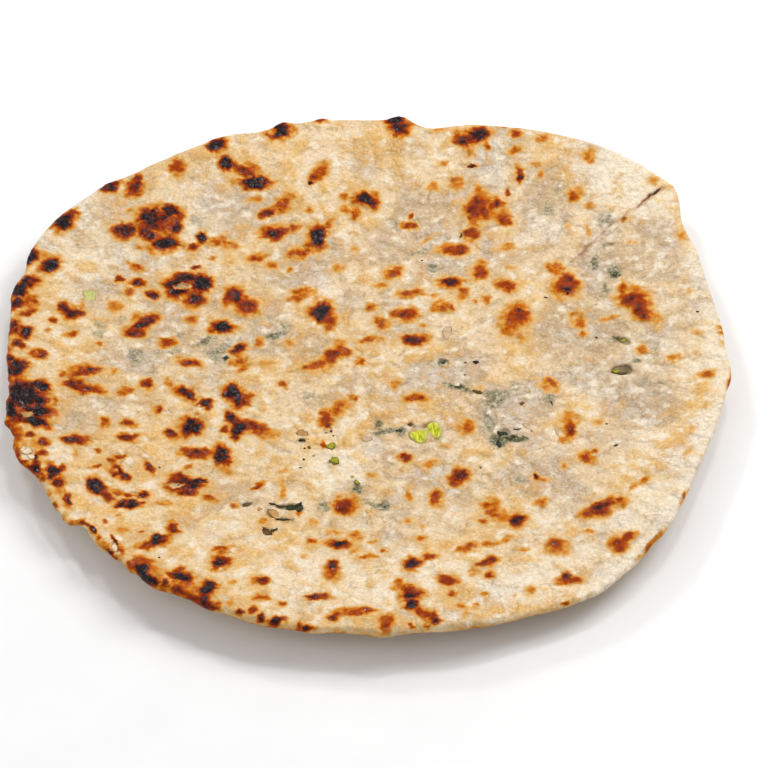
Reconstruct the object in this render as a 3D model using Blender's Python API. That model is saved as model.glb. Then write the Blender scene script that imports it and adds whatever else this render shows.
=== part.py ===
"""A large, thin, griddled stuffed flatbread (kulcha) as one solid.

The bread is a disc about 271 mm across with an uneven, hand-stretched outline.
Its middle lies flat and its border curls gently up, so it is a very shallow
dish. The top carries the folded-over layer with its raised seam, the torn
step of the lower-left edge, the puffed border and the larger burnt blisters.

Frame: the middle of the outline is the origin in plan, the flat foot is at
Z = 0, +Z is up. The widest shoulder of the outline points to +X +Y.
"""

import math

import bpy
import numpy as np

# ---------------------------------------------------------------- dimensions
# All in millimetres and degrees; MM turns them into metres at the end.
MM = 0.001

# Outline
MEAN_RADIUS = 134.5  # of the plain disc before its lobes
# (direction, half width, how far it stands out) of each lobe of the outline
LOBES = (
    (47.0, 17.0, 15.5),  # broad shoulder of the folded layer
    (33.0, 3.5, 1.6),
    (37.0, 4.6, 6.2),  # ear of the folded layer
    (44.0, 4.0, 1.2),
    (66.0, 8.0, 2.8),
    (73.5, 3.0, 0.9),
    (24.0, 7.0, 2.2),
    (78.5, 4.0, -3.2),
    (84.2, 2.0, 3.6),  # burnt blister on the far edge
    (98.0, 1.6, 1.2),
    (104.8, 1.6, 2.0),
    (109.0, 4.0, -1.4),
    (115.5, 4.0, 1.4),
    (124.0, 7.0, 0.8),
    (138.0, 3.0, 1.2),
    (152.0, 17.0, 7.9),  # second, lower shoulder
    (163.0, 2.5, -0.9),
    (167.0, 3.0, 1.6),
    (189.0, 4.0, -0.9),
    (195.0, 3.0, 1.6),
    (204.0, 6.0, 1.2),
    (237.0, 3.0, 1.6),  # puffs of the near edge
    (246.7, 2.2, 1.2),
    (254.5, 4.0, 1.4),
    (262.0, 3.0, 0.9),
    (272.5, 2.5, 1.6),
    (286.0, 9.0, 2.2),
    (305.5, 12.0, 6.4),
    (321.0, 7.0, 1.8),
    (338.0, 9.0, -1.5),
    (355.0, 3.5, 1.6),
)
# The torn layer of the lower left ends in a step of the outline
TEAR_AT, TEAR_SOFT = 219.5, 0.9  # direction of the step, and its width
TEAR_OUT, TEAR_OUT_WIDTH = 1.0, 3.0  # corner of the longer layer
TEAR_IN, TEAR_IN_WIDTH = 3.2, 5.0  # how far the shorter layer is set back

# Section
FOOT_RADIUS = 66.0  # the flat part that the bread rests on
FOOT_WANDER = 6.0
RIM_LIFT = 10.8  # height of the underside at the edge
RIM_WAVE = 1.1
MIDDLE_THICKNESS = 4.8
EDGE_THICKNESS = 3.0
EDGE_ROUND = 1.5  # radial reach of the rounded edge
PUFF_THICKNESS = 1.3  # extra at the puffed near border
PUFF_FROM, PUFF_TO = 222.0, 292.0
LUMP = 0.28  # unevenness of the filled middle

# Fold of the top layer: a seam from the ear to past the middle
SEAM_START = (117.0, 89.0)
SEAM_END = (-20.0, -28.0)
SEAM_BOW = 3.4  # the seam bends this far to the lower right
SEAM_STEP = 1.3  # at the ear; it fades along the seam
SEAM_GROOVE = 0.7

# Torn step of the lower left edge: the upper layer's edge runs inwards
TORN_START = (-104.0, -87.0)
TORN_END = (-76.0, -68.0)
TORN_STEP = 0.9

# Wrinkles that run along the border at the lower right
WRINKLES = ((292.0, 318.0, 117.0, 0.6), (300.0, 330.0, 106.0, 0.5))
WRINKLE_WIDTH = 4.0

# Larger blisters: x, y, half length, half width, direction, height
BLISTERS = (
    (-81.5, 73.0, 10.0, 8.0, 20.0, 1.3),
    (-68.5, 41.5, 11.0, 6.5, 170.0, 1.4),
    (-47.0, 34.0, 11.0, 7.0, 155.0, 1.0),
    (-93.5, 66.0, 6.5, 5.0, 0.0, 0.9),
    (-46.0, 98.0, 8.0, 6.5, 160.0, 1.1),
    (-35.0, 75.5, 7.5, 5.0, 10.0, 0.9),
    (-18.0, 73.0, 7.0, 6.5, 45.0, 1.2),
    (-1.0, 90.0, 7.0, 6.0, 30.0, 1.1),
    (-17.0, 27.0, 7.5, 7.0, 0.0, 1.3),
    (-14.5, 4.0, 10.5, 6.0, 35.0, 1.2),
    (-49.5, -11.5, 7.5, 5.5, 140.0, 1.0),
    (-47.0, -31.0, 8.0, 6.0, 150.0, 1.1),
    (-64.0, -31.0, 5.5, 5.0, 0.0, 0.9),
    (-66.0, -62.0, 9.0, 6.0, 0.0, 0.9),
    (-121.0, -29.0, 10.0, 8.0, 100.0, 1.6),
    (-74.0, -110.0, 8.0, 6.0, 140.0, 1.4),
    (-55.0, -117.5, 6.0, 5.0, 165.0, 1.0),
    (12.5, 125.5, 7.0, 6.0, 0.0, 1.5),
    (43.0, 118.0, 8.0, 6.0, 30.0, 1.2),
    (44.0, 83.5, 8.5, 7.0, 20.0, 1.2),
    (78.0, 41.5, 7.0, 7.5, 0.0, 1.2),
    (57.0, 25.5, 7.0, 6.5, 0.0, 1.1),
    (101.5, 28.0, 9.0, 8.5, 0.0, 1.3),
    (16.0, -119.0, 7.0, 6.5, 120.0, 1.1),
    (82.5, -78.0, 9.0, 6.0, 25.0, 1.0),
    (88.5, -97.0, 7.0, 5.5, 30.0, 0.9),
)

# Facets
TOP_RINGS = 30  # ring k has 6 k points
FOOT_RINGS = 15
EDGE_ANGLES = (58.0, 0.0, -58.0)  # round the edge, from the top face down

# Material
DOUGH_COLOUR = (0.74, 0.56, 0.34, 1.0)
DOUGH_ROUGHNESS = 0.55


# -------------------------------------------------------------------- shapes
def smooth(t):
    t = np.clip(t, 0.0, 1.0)
    return t * t * (3.0 - 2.0 * t)


def turn_between(angle, centre):
    """Signed difference of two directions in degrees, from -180 to 180."""
    return (angle - centre + 180.0) % 360.0 - 180.0


def arc_mask(angle, start, end, soft):
    """1 between two directions, fading to 0 over soft degrees at each end."""
    middle, half = (start + end) / 2, (end - start) / 2
    return smooth((half - np.abs(turn_between(angle, middle))) / soft + 0.5)


def rim_radius(angle):
    radius = np.full_like(angle, MEAN_RADIUS)
    for centre, width, height in LOBES:
        radius = radius + height * np.exp(-((turn_between(angle, centre) / width) ** 2))
    past = turn_between(angle, TEAR_AT)
    set_back = 0.5 + 0.5 * np.tanh(2.0 * past / TEAR_SOFT)
    corner = np.exp(-((np.minimum(past, 0.0) / TEAR_OUT_WIDTH) ** 2))
    recover = np.exp(-np.maximum(past, 0.0) / TEAR_IN_WIDTH)
    return radius + (1 - set_back) * TEAR_OUT * corner - set_back * TEAR_IN * recover


def soft_rim_radius(angle):
    """The outline without its small features, which the inner rings follow."""
    radius = np.full_like(angle, MEAN_RADIUS)
    for centre, width, height in LOBES:
        if width >= 11.0:
            turn = turn_between(angle, centre)
            radius = radius + height * np.exp(-((turn / width) ** 2))
    return radius


def plan_point(share, angle):
    """Point at a share of the way from the middle to the edge."""
    soft, full = soft_rim_radius(angle), rim_radius(angle)
    radius = share * (soft + (full - soft) * share**10)
    turn = np.radians(angle)
    return radius * np.cos(turn), radius * np.sin(turn)


def underside(share, angle):
    """Height of the underside: exactly 0 on the foot, curling up to the edge."""
    turn = np.radians(angle)
    foot = (FOOT_RADIUS + FOOT_WANDER * np.cos(2 * turn - 0.9)) / MEAN_RADIUS
    lift = RIM_LIFT + RIM_WAVE * (
        0.6 * np.cos(2 * turn - 0.4)
        + 0.5 * np.sin(3 * turn + 0.7)
        + 0.4 * np.cos(5 * turn + 2.1)
        + 0.3 * np.sin(8 * turn)
    )
    rise = np.clip((share - foot) / (1.0 - foot), 0.0, 1.0)
    return lift * (0.65 * smooth(rise) + 0.35 * rise**2)


def puff_thickness(share, angle):
    """The swollen near border, in a row of puffs."""
    puff = arc_mask(angle, PUFF_FROM, PUFF_TO, 12.0)
    wave = 0.5 + 0.5 * np.sin(np.radians(angle) * 23.0 + 0.6)
    near = smooth((share - 0.915) / 0.06)
    return PUFF_THICKNESS * puff * near * (0.45 + 0.55 * wave)


def along_line(x, y, start, end):
    """Distance along and to the left of a straight line from start to end."""
    run_x, run_y = end[0] - start[0], end[1] - start[1]
    length = math.hypot(run_x, run_y)
    run_x, run_y = run_x / length, run_y / length
    along = (x - start[0]) * run_x + (y - start[1]) * run_y
    left = (y - start[1]) * run_x - (x - start[0]) * run_y
    return along, left, length


def seam_relief(x, y):
    """The folded layer lies a little higher on the lower right of its seam."""
    along, left, length = along_line(x, y, SEAM_START, SEAM_END)
    left = left - SEAM_BOW * np.sin(np.pi * np.clip(along / length, 0.0, 1.0))
    fade = 1.0 - smooth((along - 0.15 * length) / (0.8 * length))
    layer = smooth(left / 5.0 + 0.5) * np.exp(-np.maximum(left, 0.0) / 26.0)
    groove = np.exp(-((left + 2.5) ** 2) / 9.0) * (along < length)
    return fade * (SEAM_STEP * layer - SEAM_GROOVE * groove)


def torn_relief(x, y):
    """The upper layer stops at a torn edge, which leaves the corner lower."""
    along, left, length = along_line(x, y, TORN_START, TORN_END)
    near = 1.0 - smooth((along - 0.35 * length) / (0.65 * length))
    lower = smooth(left / 4.0 + 0.5) * np.exp(-np.maximum(left, 0.0) / 18.0)
    return -TORN_STEP * near * lower


def wrinkle_relief(x, y):
    angle = np.degrees(np.arctan2(y, x)) % 360.0
    radius = np.hypot(x, y)
    height = np.zeros_like(x)
    for start, end, at, tall in WRINKLES:
        ridge = np.exp(-(((radius - at) / WRINKLE_WIDTH) ** 2))
        height = height + tall * ridge * arc_mask(angle, start, end, 8.0)
    return height


def blister_relief(x, y):
    height = np.zeros_like(x)
    for at_x, at_y, long, wide, direction, tall in BLISTERS:
        turn = math.radians(direction)
        u = (x - at_x) * math.cos(turn) + (y - at_y) * math.sin(turn)
        v = (y - at_y) * math.cos(turn) - (x - at_x) * math.sin(turn)
        height = height + tall * np.exp(-((u / long) ** 2 + (v / wide) ** 2) * 1.3)
    return height


def lump_relief(x, y):
    """Gentle unevenness where the filling is thicker or thinner."""
    return LUMP * (
        np.sin(x / 17.0 + 0.8) * np.cos(y / 21.0 - 0.4)
        + 0.7 * np.sin((x + 1.7 * y) / 26.0 + 1.9)
        + 0.6 * np.cos((1.6 * x - y) / 31.0 - 0.7)
    )


def thickness(share, angle):
    towards = smooth((share - 0.42) / 0.5)
    plain = MIDDLE_THICKNESS + (EDGE_THICKNESS - MIDDLE_THICKNESS) * towards
    return plain + puff_thickness(share, angle)


def topside(share, angle):
    x, y = plan_point(share, angle)
    calm = 1.0 - 0.5 * smooth((share - 0.9) / 0.1)
    relief = seam_relief(x, y) + torn_relief(x, y) + wrinkle_relief(x, y)
    relief = relief + blister_relief(x, y) + lump_relief(x, y)
    return underside(share, angle) + thickness(share, angle) + calm * relief


# --------------------------------------------------------------------- rings
def ring_angles(count):
    return np.arange(count) * 360.0 / count


def top_ring(k):
    inner = 1.0 - EDGE_ROUND / MEAN_RADIUS
    angle = ring_angles(max(6 * k, 1))
    share = np.full_like(angle, inner * k / TOP_RINGS)
    x, y = plan_point(share, angle)
    return np.stack([x, y, topside(share, angle)], axis=1)


def edge_ring(around):
    """A ring round the edge at an angle from the middle of its thickness."""
    angle = ring_angles(6 * TOP_RINGS)
    one = np.ones_like(angle)
    inner = 1.0 - EDGE_ROUND / MEAN_RADIUS
    low = underside(one, angle)
    high = topside(inner * one, angle)
    middle, half = (low + high) / 2, (high - low) / 2
    turn = math.radians(around)
    inset = EDGE_ROUND * (1.0 - math.cos(turn))
    x, y = plan_point(one - inset / MEAN_RADIUS, angle)
    return np.stack([x, y, middle + half * math.sin(turn)], axis=1)


def foot_ring(k):
    inner = 1.0 - 1.2 * EDGE_ROUND / MEAN_RADIUS
    angle = ring_angles(max(6 * k, 1))
    share = np.full_like(angle, inner * k / FOOT_RINGS)
    x, y = plan_point(share, angle)
    return np.stack([x, y, underside(share, angle)], axis=1)


def strip(first, first_count, second, second_count):
    """Triangles between two rings whose points start in the same direction."""
    faces = []
    i = j = 0
    while i < first_count or j < second_count:
        step_first = (i + 1) * second_count <= (j + 1) * first_count
        a = first + i % first_count
        b = second + j % second_count
        if first_count > 1 and i < first_count and (step_first or j >= second_count):
            faces.append((a, b, first + (i + 1) % first_count))
            i += 1
        elif j < second_count:
            faces.append((b, second + (j + 1) % second_count, a))
            j += 1
        else:
            break
    return faces


def bread_mesh():
    rings = [top_ring(k) for k in range(TOP_RINGS + 1)]
    rings += [edge_ring(around) for around in EDGE_ANGLES]
    rings += [foot_ring(k) for k in range(FOOT_RINGS, -1, -1)]
    faces = []
    start = 0
    for ring, following in zip(rings, rings[1:]):
        after = start + len(ring)
        faces += strip(start, len(ring), after, len(following))
        start = after
    points = np.concatenate(rings)
    # The middle of the outline becomes the origin in plan.
    low, high = points.min(axis=0), points.max(axis=0)
    points[:, :2] -= (low[:2] + high[:2]) / 2
    return points * MM, faces


# ------------------------------------------------------------------ building
for old in list(bpy.data.objects):
    bpy.data.objects.remove(old, do_unlink=True)

points, faces = bread_mesh()
mesh = bpy.data.meshes.new("bread")
mesh.from_pydata(points.tolist(), [], faces)
mesh.validate()
mesh.shade_smooth()
mesh.update()

dough = bpy.data.materials.new("griddled_dough")
dough.use_nodes = True
shader = dough.node_tree.nodes["Principled BSDF"]
shader.inputs["Base Color"].default_value = DOUGH_COLOUR
shader.inputs["Roughness"].default_value = DOUGH_ROUGHNESS
shader.inputs["Metallic"].default_value = 0.0
mesh.materials.append(dough)

bread = bpy.data.objects.new("bread", mesh)
bpy.context.scene.collection.objects.link(bread)
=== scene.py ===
"""Looks of a large griddled stuffed flatbread (kulcha).

One closed fine mesh stands for the bread's solid. Its outline, dish and folds
follow the same rules as the solid; toasted spots, translucent filling, tears
and creases are laid out as seen from the camera and carried as attributes that
the procedural dough material reads. Spring onion, herb leaf, pepper and crumbs
are small meshes of their own.
"""

import math

import bpy
import numpy as np
from mathutils import Matrix, Vector


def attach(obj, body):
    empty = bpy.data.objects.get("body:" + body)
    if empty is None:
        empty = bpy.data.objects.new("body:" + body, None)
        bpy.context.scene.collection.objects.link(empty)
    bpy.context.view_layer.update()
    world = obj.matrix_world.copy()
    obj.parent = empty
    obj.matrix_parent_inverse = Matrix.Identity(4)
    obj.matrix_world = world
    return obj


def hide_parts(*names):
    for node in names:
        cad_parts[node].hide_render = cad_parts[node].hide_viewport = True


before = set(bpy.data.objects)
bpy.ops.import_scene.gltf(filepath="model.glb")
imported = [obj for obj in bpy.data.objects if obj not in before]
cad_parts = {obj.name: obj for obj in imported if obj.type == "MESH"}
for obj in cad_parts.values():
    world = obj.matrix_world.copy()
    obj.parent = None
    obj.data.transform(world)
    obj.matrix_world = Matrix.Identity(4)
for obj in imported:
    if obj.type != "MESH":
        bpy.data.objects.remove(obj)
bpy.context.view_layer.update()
MM = 0.001

# ------------------------------------------------------------------- camera
CAMERA_ELEVATION = 46.0
CAMERA_DISTANCE = 1.0
CAMERA_AIM = (0.0067, -0.0149, 0.010)
CAMERA_LENS = 126.1  # on a 36 mm wide sensor
PICTURE = 768.0  # width and height that the spots below are given in

# ------------------------------------- form: as in the solid, in millimetres
MEAN_RADIUS = 134.5
LOBES = (
    (47.0, 17.0, 15.5), (33.0, 3.5, 1.6), (37.0, 4.6, 6.2), (44.0, 4.0, 1.2),
    (66.0, 8.0, 2.8), (73.5, 3.0, 0.9), (24.0, 7.0, 2.2), (78.5, 4.0, -3.2),
    (84.2, 2.0, 3.6), (98.0, 1.6, 1.2), (104.8, 1.6, 2.0), (109.0, 4.0, -1.4),
    (115.5, 4.0, 1.4), (124.0, 7.0, 0.8), (138.0, 3.0, 1.2), (152.0, 17.0, 7.9),
    (163.0, 2.5, -0.9), (167.0, 3.0, 1.6), (189.0, 4.0, -0.9), (195.0, 3.0, 1.6),
    (204.0, 6.0, 1.2), (201.3, 2.8, 2.3), (209.5, 3.0, -1.3), (237.0, 3.0, 1.6), (246.7, 2.2, 1.2), (254.5, 4.0, 1.4),
    (262.0, 3.0, 0.9), (272.5, 2.5, 1.6), (286.0, 9.0, 2.2), (305.5, 12.0, 6.4),
    (321.0, 7.0, 1.8), (338.0, 9.0, -1.5), (355.0, 3.5, 1.6),
)
TEAR_AT, TEAR_SOFT = 219.5, 0.9
TEAR_OUT, TEAR_OUT_WIDTH = 1.0, 3.0
TEAR_IN, TEAR_IN_WIDTH = 3.2, 5.0
FOOT_RADIUS, FOOT_WANDER = 66.0, 6.0
RIM_LIFT, RIM_WAVE = 10.8, 1.1
MIDDLE_THICKNESS, EDGE_THICKNESS, EDGE_ROUND = 4.8, 3.0, 1.5
PUFF_THICKNESS, PUFF_FROM, PUFF_TO = 1.3, 222.0, 292.0
LUMP = 0.28
SEAM_START, SEAM_END, SEAM_BOW = (117.0, 89.0), (-20.0, -28.0), 3.4
SEAM_STEP, SEAM_GROOVE = 1.3, 0.7
TORN_START, TORN_END, TORN_STEP = (-104.0, -87.0), (-76.0, -68.0), 0.9
WRINKLES = ((292.0, 318.0, 117.0, 0.6), (300.0, 330.0, 106.0, 0.5))
WRINKLE_WIDTH = 4.0

# Larger blisters: x, y, half length, half width, direction, height
BLISTERS = (
    (-81.5, 73.0, 10.0, 8.0, 20.0, 1.3), (-68.5, 41.5, 11.0, 6.5, 170.0, 1.4),
    (-47.0, 34.0, 11.0, 7.0, 155.0, 1.0), (-93.5, 66.0, 6.5, 5.0, 0.0, 0.9),
    (-46.0, 98.0, 8.0, 6.5, 160.0, 1.1), (-35.0, 75.5, 7.5, 5.0, 10.0, 0.9),
    (-18.0, 73.0, 7.0, 6.5, 45.0, 1.2), (-1.0, 90.0, 7.0, 6.0, 30.0, 1.1),
    (-17.0, 27.0, 7.5, 7.0, 0.0, 1.3), (-14.5, 4.0, 10.5, 6.0, 35.0, 1.2),
    (-49.5, -11.5, 7.5, 5.5, 140.0, 1.0), (-47.0, -31.0, 8.0, 6.0, 150.0, 1.1),
    (-64.0, -31.0, 5.5, 5.0, 0.0, 0.9), (-66.0, -62.0, 9.0, 6.0, 0.0, 0.9),
    (-121.0, -29.0, 10.0, 8.0, 100.0, 1.6), (-74.0, -110.0, 8.0, 6.0, 140.0, 1.4),
    (-55.0, -117.5, 6.0, 5.0, 165.0, 1.0), (12.5, 125.5, 7.0, 6.0, 0.0, 1.5),
    (43.0, 118.0, 8.0, 6.0, 30.0, 1.2), (44.0, 83.5, 8.5, 7.0, 20.0, 1.2),
    (78.0, 41.5, 7.0, 7.5, 0.0, 1.2), (57.0, 25.5, 7.0, 6.5, 0.0, 1.1),
    (101.5, 28.0, 9.0, 8.5, 0.0, 1.3), (16.0, -119.0, 7.0, 6.5, 120.0, 1.1),
    (82.5, -78.0, 9.0, 6.0, 25.0, 1.0), (88.5, -97.0, 7.0, 5.5, 30.0, 0.9),
)

# ------------------------------------------------------------ fineness, mesh
TOP_RINGS = 124  # ring k has 6 k points, about 1.1 mm apart
FOOT_RINGS = 62
BUSY_FACES, BUSIEST_FACES = 15400, 3800  # split in four, for finer outlines
EDGE_ANGLES = (62.0, 31.0, 0.0, -31.0, -62.0)

# --------------------------------------------------------------------- light
SKY = 0.50
LAMPS = (
    ("key", (0.75, 0.42, 0.95), 0.60, 9.0),
    ("fill", (-0.80, -0.55, 0.90), 0.9, 3.0),
    ("far", (0.25, 0.70, 1.55), 0.20, 4.6),
    ("far_left", (-0.60, 0.95, 1.00), 0.20, 4.4),
)
LIGHT = 1.20  # of these together on a level surface

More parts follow.
